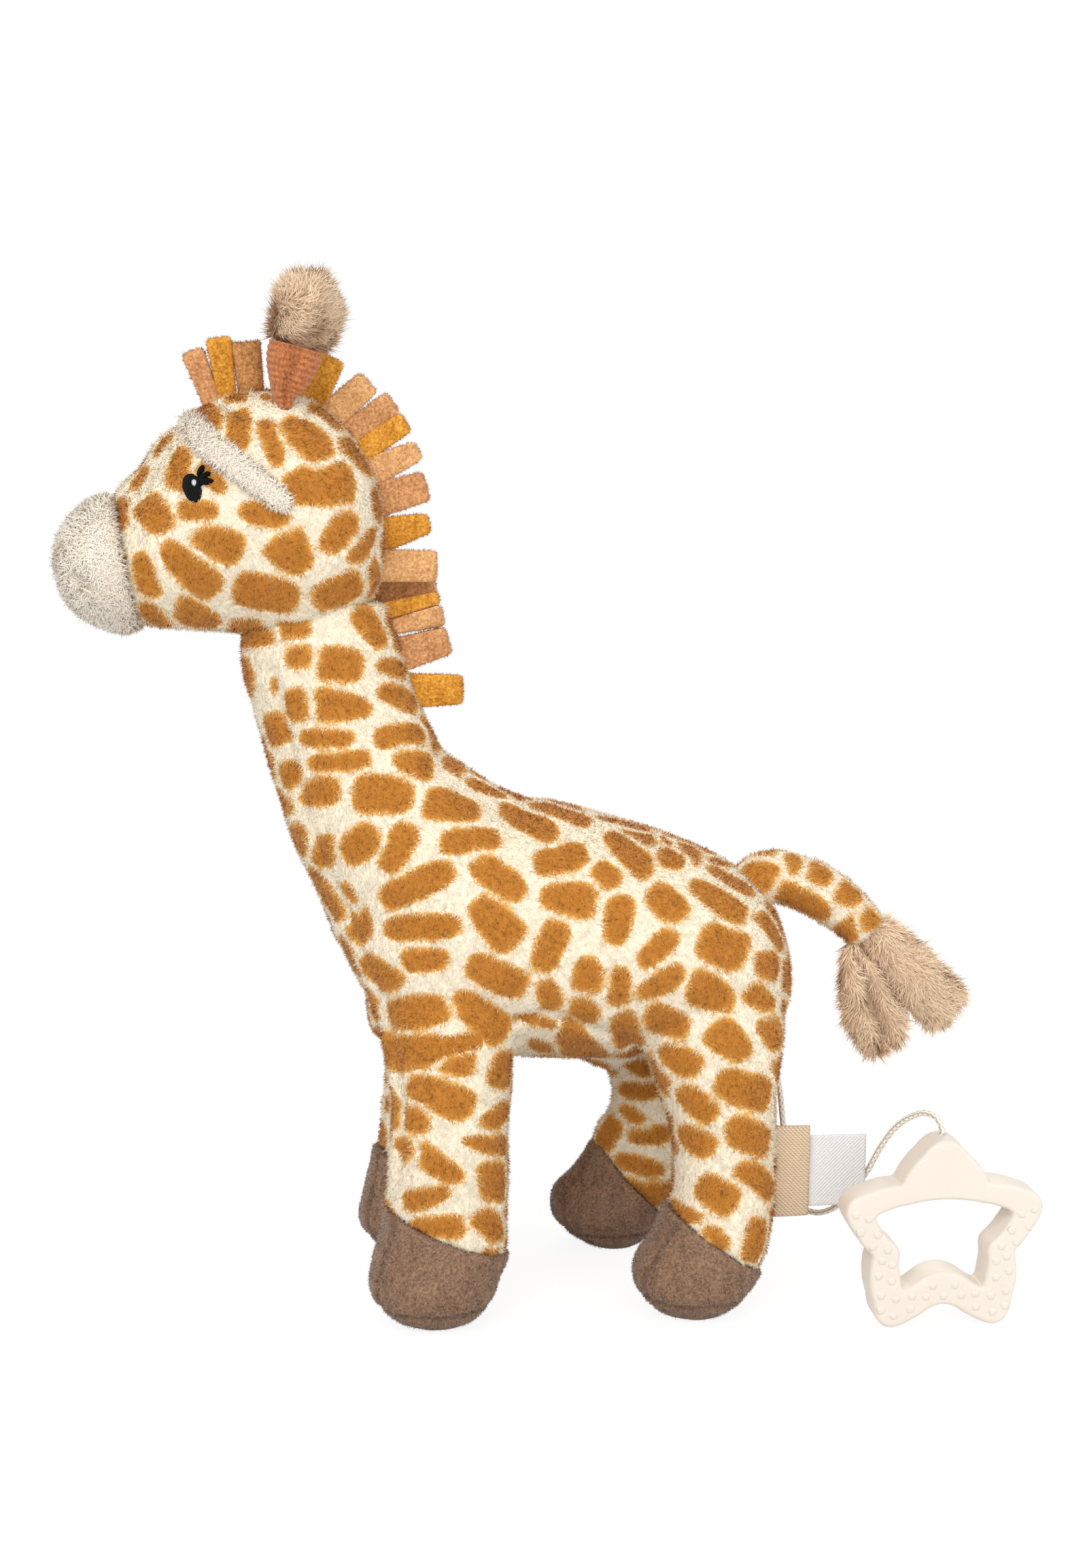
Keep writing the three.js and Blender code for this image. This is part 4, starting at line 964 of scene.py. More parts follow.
def track_on(view: PhotoView, tree: BVHTree, pixels: Sequence[tuple[float, float]]) -> np.ndarray:
    """Where a line of the photograph runs on a surface.

    Args:
        view: the photograph's view.
        tree: the surface.
        pixels: the line's pixels.

    Returns:
        Points in metres, those pixels that meet the surface.
    """
    found = []
    start = Vector(view.eye)
    for (u0, v0), (u1, v1) in zip(pixels[:-1], pixels[1:]):
        steps = max(2, int(math.hypot(u1 - u0, v1 - v0) / PIXEL_STEP))
        for t in np.arange(steps) / steps:
            look = view.ray(u0 + t * (u1 - u0), v0 + t * (v1 - v0))
            hit = tree.ray_cast(start, Vector(look))[0]
            if hit is not None:
                found.append(np.array(hit))
    return np.array(found)


def mirrored(track: np.ndarray) -> np.ndarray:
    """The track on the toy's other side."""
    return track * [1, -1, 1] + [0, 2 * LAYOUT_SHIFT[1] * MM, 0]


# ---- the print and the pile

# Spots that the photograph shows: pixel across, pixel down, half length, half width, turn in
# degrees, and how much wider the far end is, in hundredths.
SPOT_PLACES = (
    (348, 585, 14, 7, 0, 7), (393, 585, 9, 4, -160, 3), (305, 609, 21, 16, 58, 2),
    (479, 611, 30, 8, 41, 3), (350, 628, 31, 17, -91, 7), (452, 643, 45, 22, 40, 10),
    (398, 647, 36, 13, 71, 3), (239, 654, 19, 5, -49, 8), (526, 670, 35, 12, -125, 7),
    (264, 688, 31, 16, 99, 14), (310, 702, 27, 11, -137, 2), (207, 703, 19, 7, 123, 2),
    (472, 711, 54, 31, -4, 19), (289, 752, 30, 15, 8, 5), (226, 754, 27, 23, -126, 2),
    (390, 758, 39, 15, -166, 4), (499, 782, 34, 19, -55, 11), (320, 798, 38, 24, 22, 10),
    (537, 802, 30, 10, 123, 8), (429, 813, 33, 29, -128, 25), (278, 837, 52, 23, 41, 22),
    (213, 848, 35, 15, 73, 9), (561, 862, 20, 10, 83, 9), (498, 870, 39, 21, -19, 10),
    (391, 873, 48, 26, -169, 8), (289, 907, 34, 18, -162, 10), (227, 908, 27, 11, 39, 11),
    (545, 922, 34, 16, -124, 5), (430, 926, 27, 15, -25, 15), (362, 937, 28, 14, -12, 10),
    (440, 964, 20, 17, 0, 0), (501, 977, 34, 26, -175, 6), (581, 981, 21, 12, 17, 10),
    (404, 1006, 9, 5, -96, 1), (590, 1025, 31, 15, 26, 15), (436, 1036, 24, 19, 80, 10),
    (505, 1038, 43, 22, -174, 31), (372, 1045, 14, 9, 90, 0), (405, 1072, 24, 16, 70, 10),
    (592, 1081, 39, 17, -6, 4), (480, 1086, 40, 14, 4, 10), (375, 1100, 26, 10, 80, 5),
    (498, 1119, 46, 15, -5, 10), (611, 1120, 30, 19, 22, 21), (667, 1126, 18, 12, -146, 15),
    (390, 1130, 16, 9, 80, 0), (428, 1140, 22, 21, 0, 5), (714, 1160, 32, 7, -157, 12),
    (466, 1164, 32, 21, -10, 10), (564, 1168, 44, 28, -175, 8), (666, 1185, 41, 21, -168, 4),
    (825, 1194, 46, 9, 19, 18), (777, 1209, 46, 15, 19, 2), (918, 1211, 38, 6, 16, 10),
    (440, 1234, 25, 11, -112, 1), (693, 1235, 44, 18, 176, 0), (979, 1236, 9, 4, 41, 10),
    (528, 1242, 32, 24, -35, 5), (586, 1246, 39, 21, 117, 1), (478, 1250, 22, 17, 90, 5),
    (925, 1253, 44, 17, 42, 9), (825, 1262, 39, 20, -14, 4), (987, 1263, 20, 13, -159, 14),
    (1167, 1267, 16, 11, 63, 3), (1058, 1268, 17, 6, -166, 1), (1204, 1284, 20, 14, -154, 8),
    (1117, 1286, 27, 19, 19, 23), (892, 1287, 21, 17, 47, 5), (733, 1290, 45, 21, -144, 4),
    (1075, 1295, 39, 8, 28, 13), (612, 1301, 59, 22, 155, 3), (515, 1312, 17, 6, -123, 3),
    (479, 1314, 45, 10, -121, 10), (1248, 1315, 19, 15, -148, 6), (836, 1321, 40, 24, 7, 22),
    (1057, 1323, 48, 17, 34, 18), (1178, 1326, 44, 16, -154, 4), (982, 1328, 32, 22, -136, 1),
    (910, 1351, 37, 20, -80, 6), (1278, 1352, 16, 14, -40, 5), (729, 1356, 45, 27, 47, 18),
    (619, 1363, 57, 19, -2, 1), (1136, 1369, 33, 9, -121, 2), (1240, 1372, 18, 15, -20, 5),
    (1064, 1390, 36, 30, 22, 5), (809, 1391, 39, 21, -68, 4), (969, 1393, 36, 16, -45, 4),
    (625, 1411, 35, 17, 175, 9), (556, 1430, 34, 16, 44, 10), (1132, 1420, 21, 18, -91, 6),
    (865, 1434, 27, 22, 88, 21), (731, 1435, 47, 23, 25, 7), (973, 1445, 38, 16, 149, 0),
    (911, 1451, 28, 16, 97, 11), (1047, 1461, 34, 24, -157, 18), (809, 1465, 24, 16, 68, 5),
    (1120, 1468, 26, 15, -144, 11), (858, 1488, 23, 20, -151, 7), (607, 1489, 47, 24, 168, 7),
    (709, 1494, 49, 23, 39, 20), (791, 1500, 32, 8, 19, 1), (981, 1502, 33, 20, -169, 21),
    (922, 1518, 26, 22, 70, 10), (1137, 1520, 24, 16, -110, 10), (1074, 1531, 35, 24, -140, 19),
    (798, 1539, 20, 9, 17, 11), (586, 1542, 33, 24, 28, 12), (858, 1543, 41, 20, -157, 24),
    (999, 1557, 33, 20, 33, 7), (668, 1558, 31, 21, -164, 1), (938, 1568, 22, 13, 20, 5),
    (741, 1572, 28, 15, -75, 1), (571, 1585, 11, 6, 60, 3), (938, 1603, 26, 12, 10, 5),
    (1098, 1603, 43, 26, 16, 6), (646, 1613, 53, 25, 21, 5), (1025, 1623, 34, 18, 41, 0),
    (571, 1624, 11, 5, -90, 9), (734, 1640, 24, 13, -46, 3), (930, 1642, 24, 12, 30, 5),
    (612, 1645, 22, 18, 90, 5), (897, 1664, 30, 15, 117, 3), (955, 1668, 32, 14, 0, 5),
    (1104, 1671, 36, 25, 26, 0), (1022, 1676, 30, 17, 30, 10), (722, 1683, 32, 13, 6, 26),
    (598, 1690, 20, 12, 60, 10), (643, 1712, 43, 17, -146, 19), (939, 1716, 38, 16, 15, 2),
    (564, 1718, 19, 7, -104, 2), (1118, 1735, 34, 17, -136, 0), (727, 1738, 30, 20, -94, 5),
    (943, 1753, 49, 18, -162, 3), (1055, 1756, 33, 23, 35, 3), (626, 1761, 35, 14, 168, 17),
    (1001, 1783, 23, 11, -147, 19), (722, 1801, 27, 18, -132, 4), (642, 1803, 41, 15, 3, 30),
    (1055, 1819, 21, 11, -142, 2), (1111, 1823, 33, 15, 102, 7), (724, 1843, 15, 6, 8, 14),
)


@dataclass
class Spot:
    """One printed spot, laid on a skin."""

    centre: np.ndarray
    normal: np.ndarray
    frame: np.ndarray
    taper: float


@dataclass
class SpotPrint:
    """The spotted print: measured spots where the photograph shows them, seeded ones elsewhere."""

    view: PhotoView
    squareness: float = 3.6
    growth: float = 0.35
    channel: float = 2.0
    pitch: float = 11.6
    gap: float = 2.6
    largest: float = 7.6
    seed: int = 7
    warp: float = 0.0026
    warp_scale: float = 85.0
    spots: dict[str, list[Spot]] = field(default_factory=dict)

    def place(self, skins: Sequence[Skin]) -> None:
        """Lays each measured spot on the skin that its pixel meets first.

        Args:
            skins: the printed skins.
        """
        trees = [(skin, skin.tree()) for skin in skins]
        eye = Vector(self.view.eye)
        right, up = self.view.axes()
        for u, v, half_length, half_width, turn, taper in SPOT_PLACES:
            ray = self.view.ray(u, v)
            hits = [(tree.ray_cast(eye, Vector(ray)), skin) for skin, tree in trees]
            hits = [(hit, skin) for hit, skin in hits if hit[0] is not None]
            if not hits:
                continue
            hit, skin = min(hits, key=lambda found: found[0][3])
            centre, normal = np.array(hit[0]), np.array(hit[1])
            a = math.radians(turn)
            axes = []
            for half, (du, dv) in ((half_length, (math.cos(a), math.sin(a))),
                                   (half_width, (-math.sin(a), math.cos(a)))):
                lean = self.view.ray(u + half * du, v + half * dv)
                facing = float(lean @ normal)
                flat = (right * du - up * dv) * half * self.view.metres_per_pixel
                end = flat
                if facing < -0.12:
                    reach = float((centre - self.view.eye) @ normal) / facing
                    end = self.view.eye + lean * reach - centre
                size, most = np.linalg.norm(end), 2.5 * half * self.view.metres_per_pixel
                axes.append(end * min(1.0, most / max(size, 1e-9)))
            self.spots.setdefault(skin.piece.name, []).append(
                Spot(centre, normal, np.stack(axes), taper / 100))

    def nearest(self, skin: Skin, co: np.ndarray, normals: np.ndarray) -> np.ndarray:
        """How far each point lies outside the measured spots.

        Each spot fills its place up to an even gap to its neighbours, which gives it corners.

        Args:
            skin: the printed skin.
            co: its points.
            normals: its normals.

        Returns:
            Millimetres outside the nearest spot, below zero inside it.
        """
        best, next_best = np.full(len(co), 30.0), np.full(len(co), 60.0)
        for spot in self.spots.get(skin.piece.name, []):
            apart = co - spot.centre
            reach = np.linalg.norm(apart, axis=1)
            near = np.flatnonzero(
                (reach < 3.2 * np.linalg.norm(spot.frame, axis=1).max() + 0.004)
                & (normals @ spot.normal > -0.25))
            flat = apart[near] - np.outer(apart[near] @ spot.normal, spot.normal)
            flat *= (reach[near] / np.maximum(np.linalg.norm(flat, axis=1), 1e-9))[:, None]
            gram = spot.frame @ spot.frame.T
            x, y = (flat @ spot.frame.T @ np.linalg.inv(gram)).T
            y = y / np.clip(1 + 1.3 * spot.taper * np.clip(x, -1.2, 1.2), 0.35, 2)
            k = self.squareness
            size = (np.abs(x) ** k + np.abs(y) ** k) ** (1 / k)
            outside = reach[near] * (1 - 1 / np.maximum(size, 0.05)) / MM
            next_best[near] = np.minimum(next_best[near], np.maximum(best[near], outside))
            best[near] = np.minimum(best[near], outside)
        return np.maximum(best - self.growth, (self.channel - (next_best - best)) / 2)

    def apply(self, skin: Skin) -> None:
        """Keeps on each vertex how far outside the nearest spot it lies.

        Args:
            skin: a printed skin.
        """
        co, normals = skin.points(), skin.normals()
        measured = self.nearest(skin, co, normals)
        tree, eye = skin.tree(), Vector(self.view.eye)
        order = np.random.default_rng(self.seed).permutation(len(co))
        seeds: list[np.ndarray] = []
        cells: dict[tuple[int, ...], list[np.ndarray]] = {}
        room = self.pitch * MM
        for i in order:
            if measured[i] < self.pitch * 0.48:
                continue
            cell = tuple(np.floor(co[i] / room).astype(int))
            close = [p for dx in (-1, 0, 1) for dy in (-1, 0, 1) for dz in (-1, 0, 1)
                     for p in cells.get((cell[0] + dx, cell[1] + dy, cell[2] + dz), [])]
            if close and np.linalg.norm(np.array(close) - co[i], axis=1).min() < room:
                continue
            toward = self.view.eye - co[i]
            if normals[i] @ unit(toward) > 0.4:
                start = Vector(co[i] + normals[i] * 0.0015)
                if tree.ray_cast(start, eye - start)[0] is None:
                    continue
            cells.setdefault(cell, []).append(co[i])
            seeds.append(co[i])
        best = measured
        if len(seeds) > 2:
            search = near_search(seeds)
            shift = Vector((self.seed, 2.0, 5.0))
            noise.seed_set(self.seed)  # without it, noise_vector gives other values each run
            first, second = np.empty(len(co)), np.empty(len(co))
            for i, p in enumerate(co):
                warp = noise.noise_vector(Vector(p) * self.warp_scale + shift) * self.warp
                found = search.find_n(Vector(p) + warp, 2)
                first[i], second[i] = found[0][2] / MM, found[1][2] / MM
            seeded = np.maximum(self.gap / 2 - (second - first) / 2, first - self.largest)
            best = np.minimum(measured, np.maximum(seeded, self.gap - measured))
        hold(skin.mesh, print=best)


@dataclass(frozen=True)
class Pile:
    """Strands of pile, rooted in a skin."""

    length: float
    width: float
    per_square: float
    lean: float
    nap: Colour = (0.2, 0.0, -1.0)
    scatter: float = 0.8
    joints: int = 1
    curl: float = 0.0
    clump: float = 0.0
    seed: int = 1
    spread: float = 0.25

    def roots(self, skin: Mesh, part: Optional[np.ndarray]
              ) -> tuple[np.ndarray, np.ndarray, np.ndarray, np.ndarray]:
        """Places on a skin where strands grow.

        Args:
            skin: the mesh.
            part: the triangles to use, or None for all.

        Returns:
            Root points, their normals, triangle corners and weights.
        """
        rng = np.random.default_rng(self.seed)
        skin.calc_loop_triangles()
        corners = read(skin.loop_triangles, "vertices", np.int64)
        co, up = read(skin.vertices, "co"), vertex_normals(skin)
        if part is not None:
            corners = corners[part(co[corners].mean(1))]
        p = co[corners]
        area = np.linalg.norm(np.cross(p[:, 1] - p[:, 0], p[:, 2] - p[:, 0]), axis=1) / 2
        count = int(area.sum() / MM**2 * self.per_square)
        pick = rng.choice(len(area), count, p=area / area.sum())
        w = rng.random((count, 2))
        w[w.sum(1) > 1] = 1 - w[w.sum(1) > 1]
        w = np.column_stack([1 - w.sum(1), w])
        chosen = corners[pick]
        roots = (co[chosen] * w[:, :, None]).sum(1)
        return roots, unit((up[chosen] * w[:, :, None]).sum(1)), chosen, w

    def grow(self, name: str, skin: Mesh, finish: Finish, slot: str,
             part: Any = None, carry: Sequence[str] = (), body: str = "giraffe"
             ) -> Object:
        """Grows the strands as one piece.

        Args:
            name: the piece's name.
            skin: the mesh that they are rooted in.
            finish: their finish.
            slot: the record's slot; not used.
            part: a test of places that picks where they grow.
            carry: values of the skin that each strand takes from its root.
            body: the body that they ride on.

        Returns:
            The piece.
        """
        roots, up, chosen, w = self.roots(skin, part)
        rng = np.random.default_rng(self.seed + 1)
        count, joints = len(roots), self.joints
        nap = np.array(self.nap, float)
        flow = nap - (up @ nap)[:, None] * up
        small = np.linalg.norm(flow, axis=1) < 0.15
        flow[small] += np.cross(up[small], [0.0, 1.0, 0.0]) * 0.5
        flow = unit(flow)
        side = np.cross(up, flow)
        wave = np.sin(roots @ np.array([310.0, 170.0, 240.0])) + np.sin(
            roots @ np.array([-120.0, 260.0, 390.0]) + 2.0)
        turn = rng.normal(0, self.scatter, count) + wave * self.clump
        heading = flow * np.cos(turn)[:, None] + side * np.sin(turn)[:, None]
        lean = np.clip(self.lean + rng.normal(0, 0.18, count), 0.05, 1.45)
        start = up * np.cos(lean)[:, None] + heading * np.sin(lean)[:, None]
        length = self.length * MM * np.clip(1 + rng.normal(0, self.spread, count), 0.3, 1.7)
        across = unit(np.cross(start, up))
        half = across * (self.width * MM / 2)
        rows, here, direction = [], roots - up * 0.0003, start
        for k in range(joints):
            width = half * (0.4 + 0.6 * (1 - k / joints))
            rows += [here - width, here + width]
            direction = unit(direction + heading * self.curl / joints)
            here = here + direction * (length / joints)[:, None]
        points = np.stack(rows + [here], 1)
        per = points.shape[1]
        base, faces = np.arange(count) * per, []
        for k in range(joints):
            a, b = base + 2 * k, base + 2 * k + 1
            faces.append(np.stack([a, b, b + (2 if k < joints - 1 else 1)], 1))
            if k < joints - 1:
                faces.append(np.stack([a, b + 2, a + 2], 1))
        loops = np.concatenate(faces)
        flat = points.reshape(-1, 3)
        first = flat[faces[0]]
        facing = np.cross(first[:, 1] - first[:, 0], first[:, 2] - first[:, 0])
        if ((facing * up).sum(1) < 0).mean() > 0.5:
            loops = loops[:, ::-1]
        mesh = bpy.data.meshes.new(name)
        mesh.vertices.add(len(flat))
        mesh.vertices.foreach_set("co", flat.ravel())
        mesh.loops.add(loops.size)
        mesh.loops.foreach_set("vertex_index", loops.ravel().astype(np.int32))
        mesh.polygons.add(len(loops))
        mesh.polygons.foreach_set("loop_start", np.arange(0, loops.size, 3, dtype=np.int32))
        mesh.polygons.foreach_set("use_smooth", [True] * len(loops))
        mesh.update(calc_edges=True)
        tips = np.append(np.repeat(np.arange(joints) / joints, 2), 1.0)
        hold(mesh, tip=np.tile(tips, count), own=np.repeat(rng.random(count), per))
        for key in carry:
            values = read(skin.attributes[key].data, "value", np.float32, 1)[:, 0]
            hold(mesh, **{key: np.repeat((values[chosen] * w).sum(1), per)})
        soft = unit(up * 0.8 + start * 0.35)
        mesh.normals_split_custom_set_from_vertices(np.repeat(soft, per, axis=0).tolist())
        mesh.materials.append(finish.material())
        piece = linked(name, mesh)
        if body:
            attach(piece, body)
        log.info("%s: %d strands", name, count)
        return piece


# ---- stuffed forms

# Two differ from their solids: under its pile, HORN_TIP leans and is narrower, and TUFT_FRONT
# is wider at its top. TAIL_BALL, inside the rump, has none.

TORSO = SoftForm((-50, 0, 108.5), (134.5, 0, 79), (79, 82), (
    (0, 0.044, 0.05, 0.05), (0.022, 0.019, 0.2, 0.195), (0.074, -0.006, 0.355, 0.34),
    (0.164, 0.006, 0.456, 0.427), (0.297, 0.025, 0.5, 0.476), (0.461, 0, 0.487, 0.494),
    (0.632, -0.044, 0.449, 0.5), (0.781, -0.089, 0.405, 0.476), (0.877, -0.127, 0.348, 0.415),
    (0.944, -0.158, 0.26, 0.317), (0.985, -0.177, 0.152, 0.183), (1, -0.177, 0.04, 0.05)), (1, 0))
NECK = SoftForm((8, 0, 96), (-63, 0, 111), (74, 70), (
    (0, 0, 0.203, 0.214), (0.159, 0.072, 0.459, 0.471), (0.365, 0.198, 0.49, 0.5),
    (0.546, 0.335, 0.44, 0.443), (0.754, 0.464, 0.376, 0.357), (0.878, 0.611, 0.323, 0.307),
    (0.965, 0.76, 0.307, 0.286), (1.013, 0.892, 0.301, 0.279), (1, 1, 0.257, 0.243)))
HEAD = SoftForm((-115.5, 0, 229), (79.3, 0, 72.6), (72.6, 60), (
    (0, -0.152, 0.11, 0.133), (0.044, -0.145, 0.207, 0.258), (0.088, -0.131, 0.266, 0.33),
    (0.145, -0.117, 0.307, 0.373), (0.221, -0.062, 0.369, 0.417), (0.322, -0.007, 0.434, 0.458),
    (0.448, 0.021, 0.471, 0.49), (0.586, 0.014, 0.5, 0.5), (0.712, -0.003, 0.489, 0.49),
    (0.826, -0.021, 0.427, 0.45), (0.914, -0.041, 0.331, 0.367), (0.971, -0.062, 0.207, 0.233),
    (1, -0.076, 0.069, 0.083)), (1, 0))
MUZZLE = SoftForm((-108.2, 0, 217.8), (-21.7, 0, -4.4), (41.8, 47.6), (
    (0, 0, 0.486, 0.475), (0.23, 0.23, 0.5, 0.5), (0.46, 0.46, 0.459, 0.496),
    (0.69, 0.69, 0.378, 0.433), (0.85, 0.85, 0.282, 0.326), (0.96, 0.96, 0.156, 0.18),
    (1, 1, 0.05, 0.06)), (-21.7, -4.4))
TAIL = SoftForm((72.5, 0, 121), (34.7, 0, -15), (16, 15.4), (
    (0, 0, 0.5, 0.5), (0.13, -0.1, 0.49, 0.49), (0.38, 0.02, 0.5, 0.5), (0.65, 0.33, 0.49, 0.49),
    (0.88, 0.75, 0.45, 0.46), (1, 1, 0.41, 0.42)))
TUFT_BACK = SoftForm((104.5, 0.5, 108.5), (31, 0, -31), (18.5, 13), (
    (0, 0, 0.3, 0.3), (0.22, 0.16, 0.44, 0.5), (0.55, 0.52, 0.52, 0.5), (0.82, 0.81, 0.54, 0.42),
    (0.95, 0.95, 0.5, 0.3), (1, 1, 0.36, 0.14)))
TUFT_FRONT = SoftForm((103.6, -0.5, 106), (11.6, 0, -40), (16, 12), (
    (0, 0, 0.24, 0.25), (0, 0.2, 0.40, 0.45), (0.34, 0.5, 0.62, 0.5), (0.74, 0.80, 0.62, 0.42),
    (0.9, 0.95, 0.46, 0.3), (1, 1, 0.26, 0.16)))
HORN_STEM = SoftForm((-64.4, 0, 257.5), (3.4, 0, 19.5), (15.6, 13.6), (
    (0, 0, 0.03, 0.1), (0, 0.14, 0.13, 0.18), (0, 0.33, 0.25, 0.28), (0.4, 0.6, 0.42, 0.42),
    (0.78, 0.86, 0.5, 0.5), (1, 1, 0.5, 0.5)))
HORN_TIP = SoftForm((-61, 0, 277.3), (5.6, 0, 22.6), (23.6, 21), (
    (-0.1, -0.02, 0.27, 0.31), (-0.2, 0.13, 0.34, 0.43), (0.12, 0.4, 0.42, 0.48),
    (0.5, 0.64, 0.41, 0.44), (0.65, 0.81, 0.31, 0.3), (0.65, 0.92, 0.1, 0.1)))
TAIL_BALL = SoftForm((65.5, 0, 121), (14, 0, 0), (14.6, 14.6), (
    (0, 0, 0.03, 0.03), (0.067, 0, 0.25, 0.25), (0.25, 0, 0.433, 0.433), (0.5, 0, 0.5, 0.5),
    (0.75, 0, 0.433, 0.433), (0.933, 0, 0.25, 0.25), (1, 0, 0.03, 0.03)), (1, 0))


@dataclass(frozen=True)
class Leg:
    """One leg with its hoof: the form of its solid, its side and how far it is swung forward."""

    end: str
    side: str
    swing: float
    pressed: float

    FRONT_SHARES = (
        (-0.06, 0.095, 0.197, 0.227), (0, 0.021, 0.431, 0.426), (0.118, -0.074, 0.5, 0.483),
        (0.282, -0.179, 0.473, 0.497), (0.365, -0.337, 0.463, 0.497), (0.47, -0.526, 0.456, 0.483),
        (0.53, -0.684, 0.458, 0.483), (0.694, -0.789, 0.483, 0.5), (0.918, -0.853, 0.468, 0.5),
        (1, -0.932, 0.419, 0.449), (1, -0.979, 0.32, 0.341), (1, -1, 0.209, 0.227))
    HIND_SHARES = (
        (0, 0.105, 0.205, 0.222), (0, 0.032, 0.443, 0.431), (0.067, -0.074, 0.5, 0.486),
        (0.067, -0.158, 0.489, 0.5), (-0.093, -0.316, 0.409, 0.478), (-0.293, -0.474, 0.364, 0.444),
        (-0.173, -0.653, 0.375, 0.444), (0.2, -0.758, 0.414, 0.472), (0.76, -0.853, 0.436, 0.481),
        (0.893, -0.937, 0.373, 0.425), (0.96, -0.979, 0.284, 0.319), (1, -1, 0.193, 0.222))

    @property
    def name(self) -> str:
        """Its end and side, as the CAD names them."""
        return f"{self.end}_{self.side}"

    @property
    def hand(self) -> int:
        """-1 on the left, 1 on the right."""
        return -1 if self.side == "left" else 1

    @property
    def hip(self) -> np.ndarray:
        """The point that it hangs from, without the spread."""
        return np.array([-17.5 if self.end == "front" else 57.0, 0.0, 95.0])

    def form(self) -> SoftForm:
        """Its stuffed form, before the swing.

        Returns:
            The form.
        """
        front = self.end == "front"
        shares = self.FRONT_SHARES if front else self.HIND_SHARES
        reach, girth = (8.5, (40.6, 35.2)) if front else (7.5, (44.0, 36.0))
        return SoftForm((self.hip[0], self.hand * 21.0, 94.5), (-reach, -self.hand * 10.0, 95.0),
                        girth, [(x, z, a, s, z) for x, z, a, s in shares], (0, -1))

    def swung(self, points: np.ndarray) -> np.ndarray:
        """Points turned forward about the hip.

        Args:
            points: points of the layout.

        Returns:
            The turned points.
        """
        a = math.radians(self.swing)
        away = points - self.hip
        x = away[:, 0] * math.cos(a) + away[:, 2] * math.sin(a)
        z = -away[:, 0] * math.sin(a) + away[:, 2] * math.cos(a)
        return self.hip + np.stack([x, away[:, 1], z], 1)

    def halves(self, grow: float) -> tuple[tuple[np.ndarray, list], tuple[np.ndarray, list]]:
        """The leg above its slanting seam and the hoof below it.

        Args:
            grow: millimetres added all round, below zero to leave room for pile.

        Returns:
            Points and faces of the leg, and of the hoof.
        """
        whole = self.form().loft(72, 56)[0]
        drop = -self.pressed - self.swung(whole)[:, 2].min()
        lead, height, tilt = (5.0, 27.3, 22.4) if self.end == "front" else (1.0, 22.0, 35.8)
        t = math.radians(tilt)
        at, across = Vector((self.hip[0] - lead, 0, height)), Vector((math.sin(t), 0, math.cos(t)))
        halves = []
        for above, g in ((True, grow), (False, grow * 0.5)):
            points, faces = self.form().loft(72, 56, g)
            shell = bmesh.new()
            made = [shell.verts.new(p) for p in points]
            for face in faces:
                shell.faces.new([made[i] for i in face])
            bmesh.ops.bisect_plane(
                shell, geom=shell.verts[:] + shell.edges[:] + shell.faces[:], plane_co=at,
                plane_no=across, clear_outer=not above, clear_inner=above)
            rim = [e for e in shell.edges if e.is_boundary]
            bmesh.ops.contextual_create(shell, geom=rim)
            shell.verts.index_update()
            co = self.swung(np.array([v.co for v in shell.verts])) + [0, 0, drop]
            halves.append((co, [[v.index for v in f.verts] for f in shell.faces]))
            shell.free()
        return halves[0], halves[1]


LEGS = (Leg("front", "left", 0, 0.5), Leg("front", "right", 1.2, 0.5),
        Leg("hind", "left", 0, 0.5), Leg("hind", "right", 12.3, 1.4))


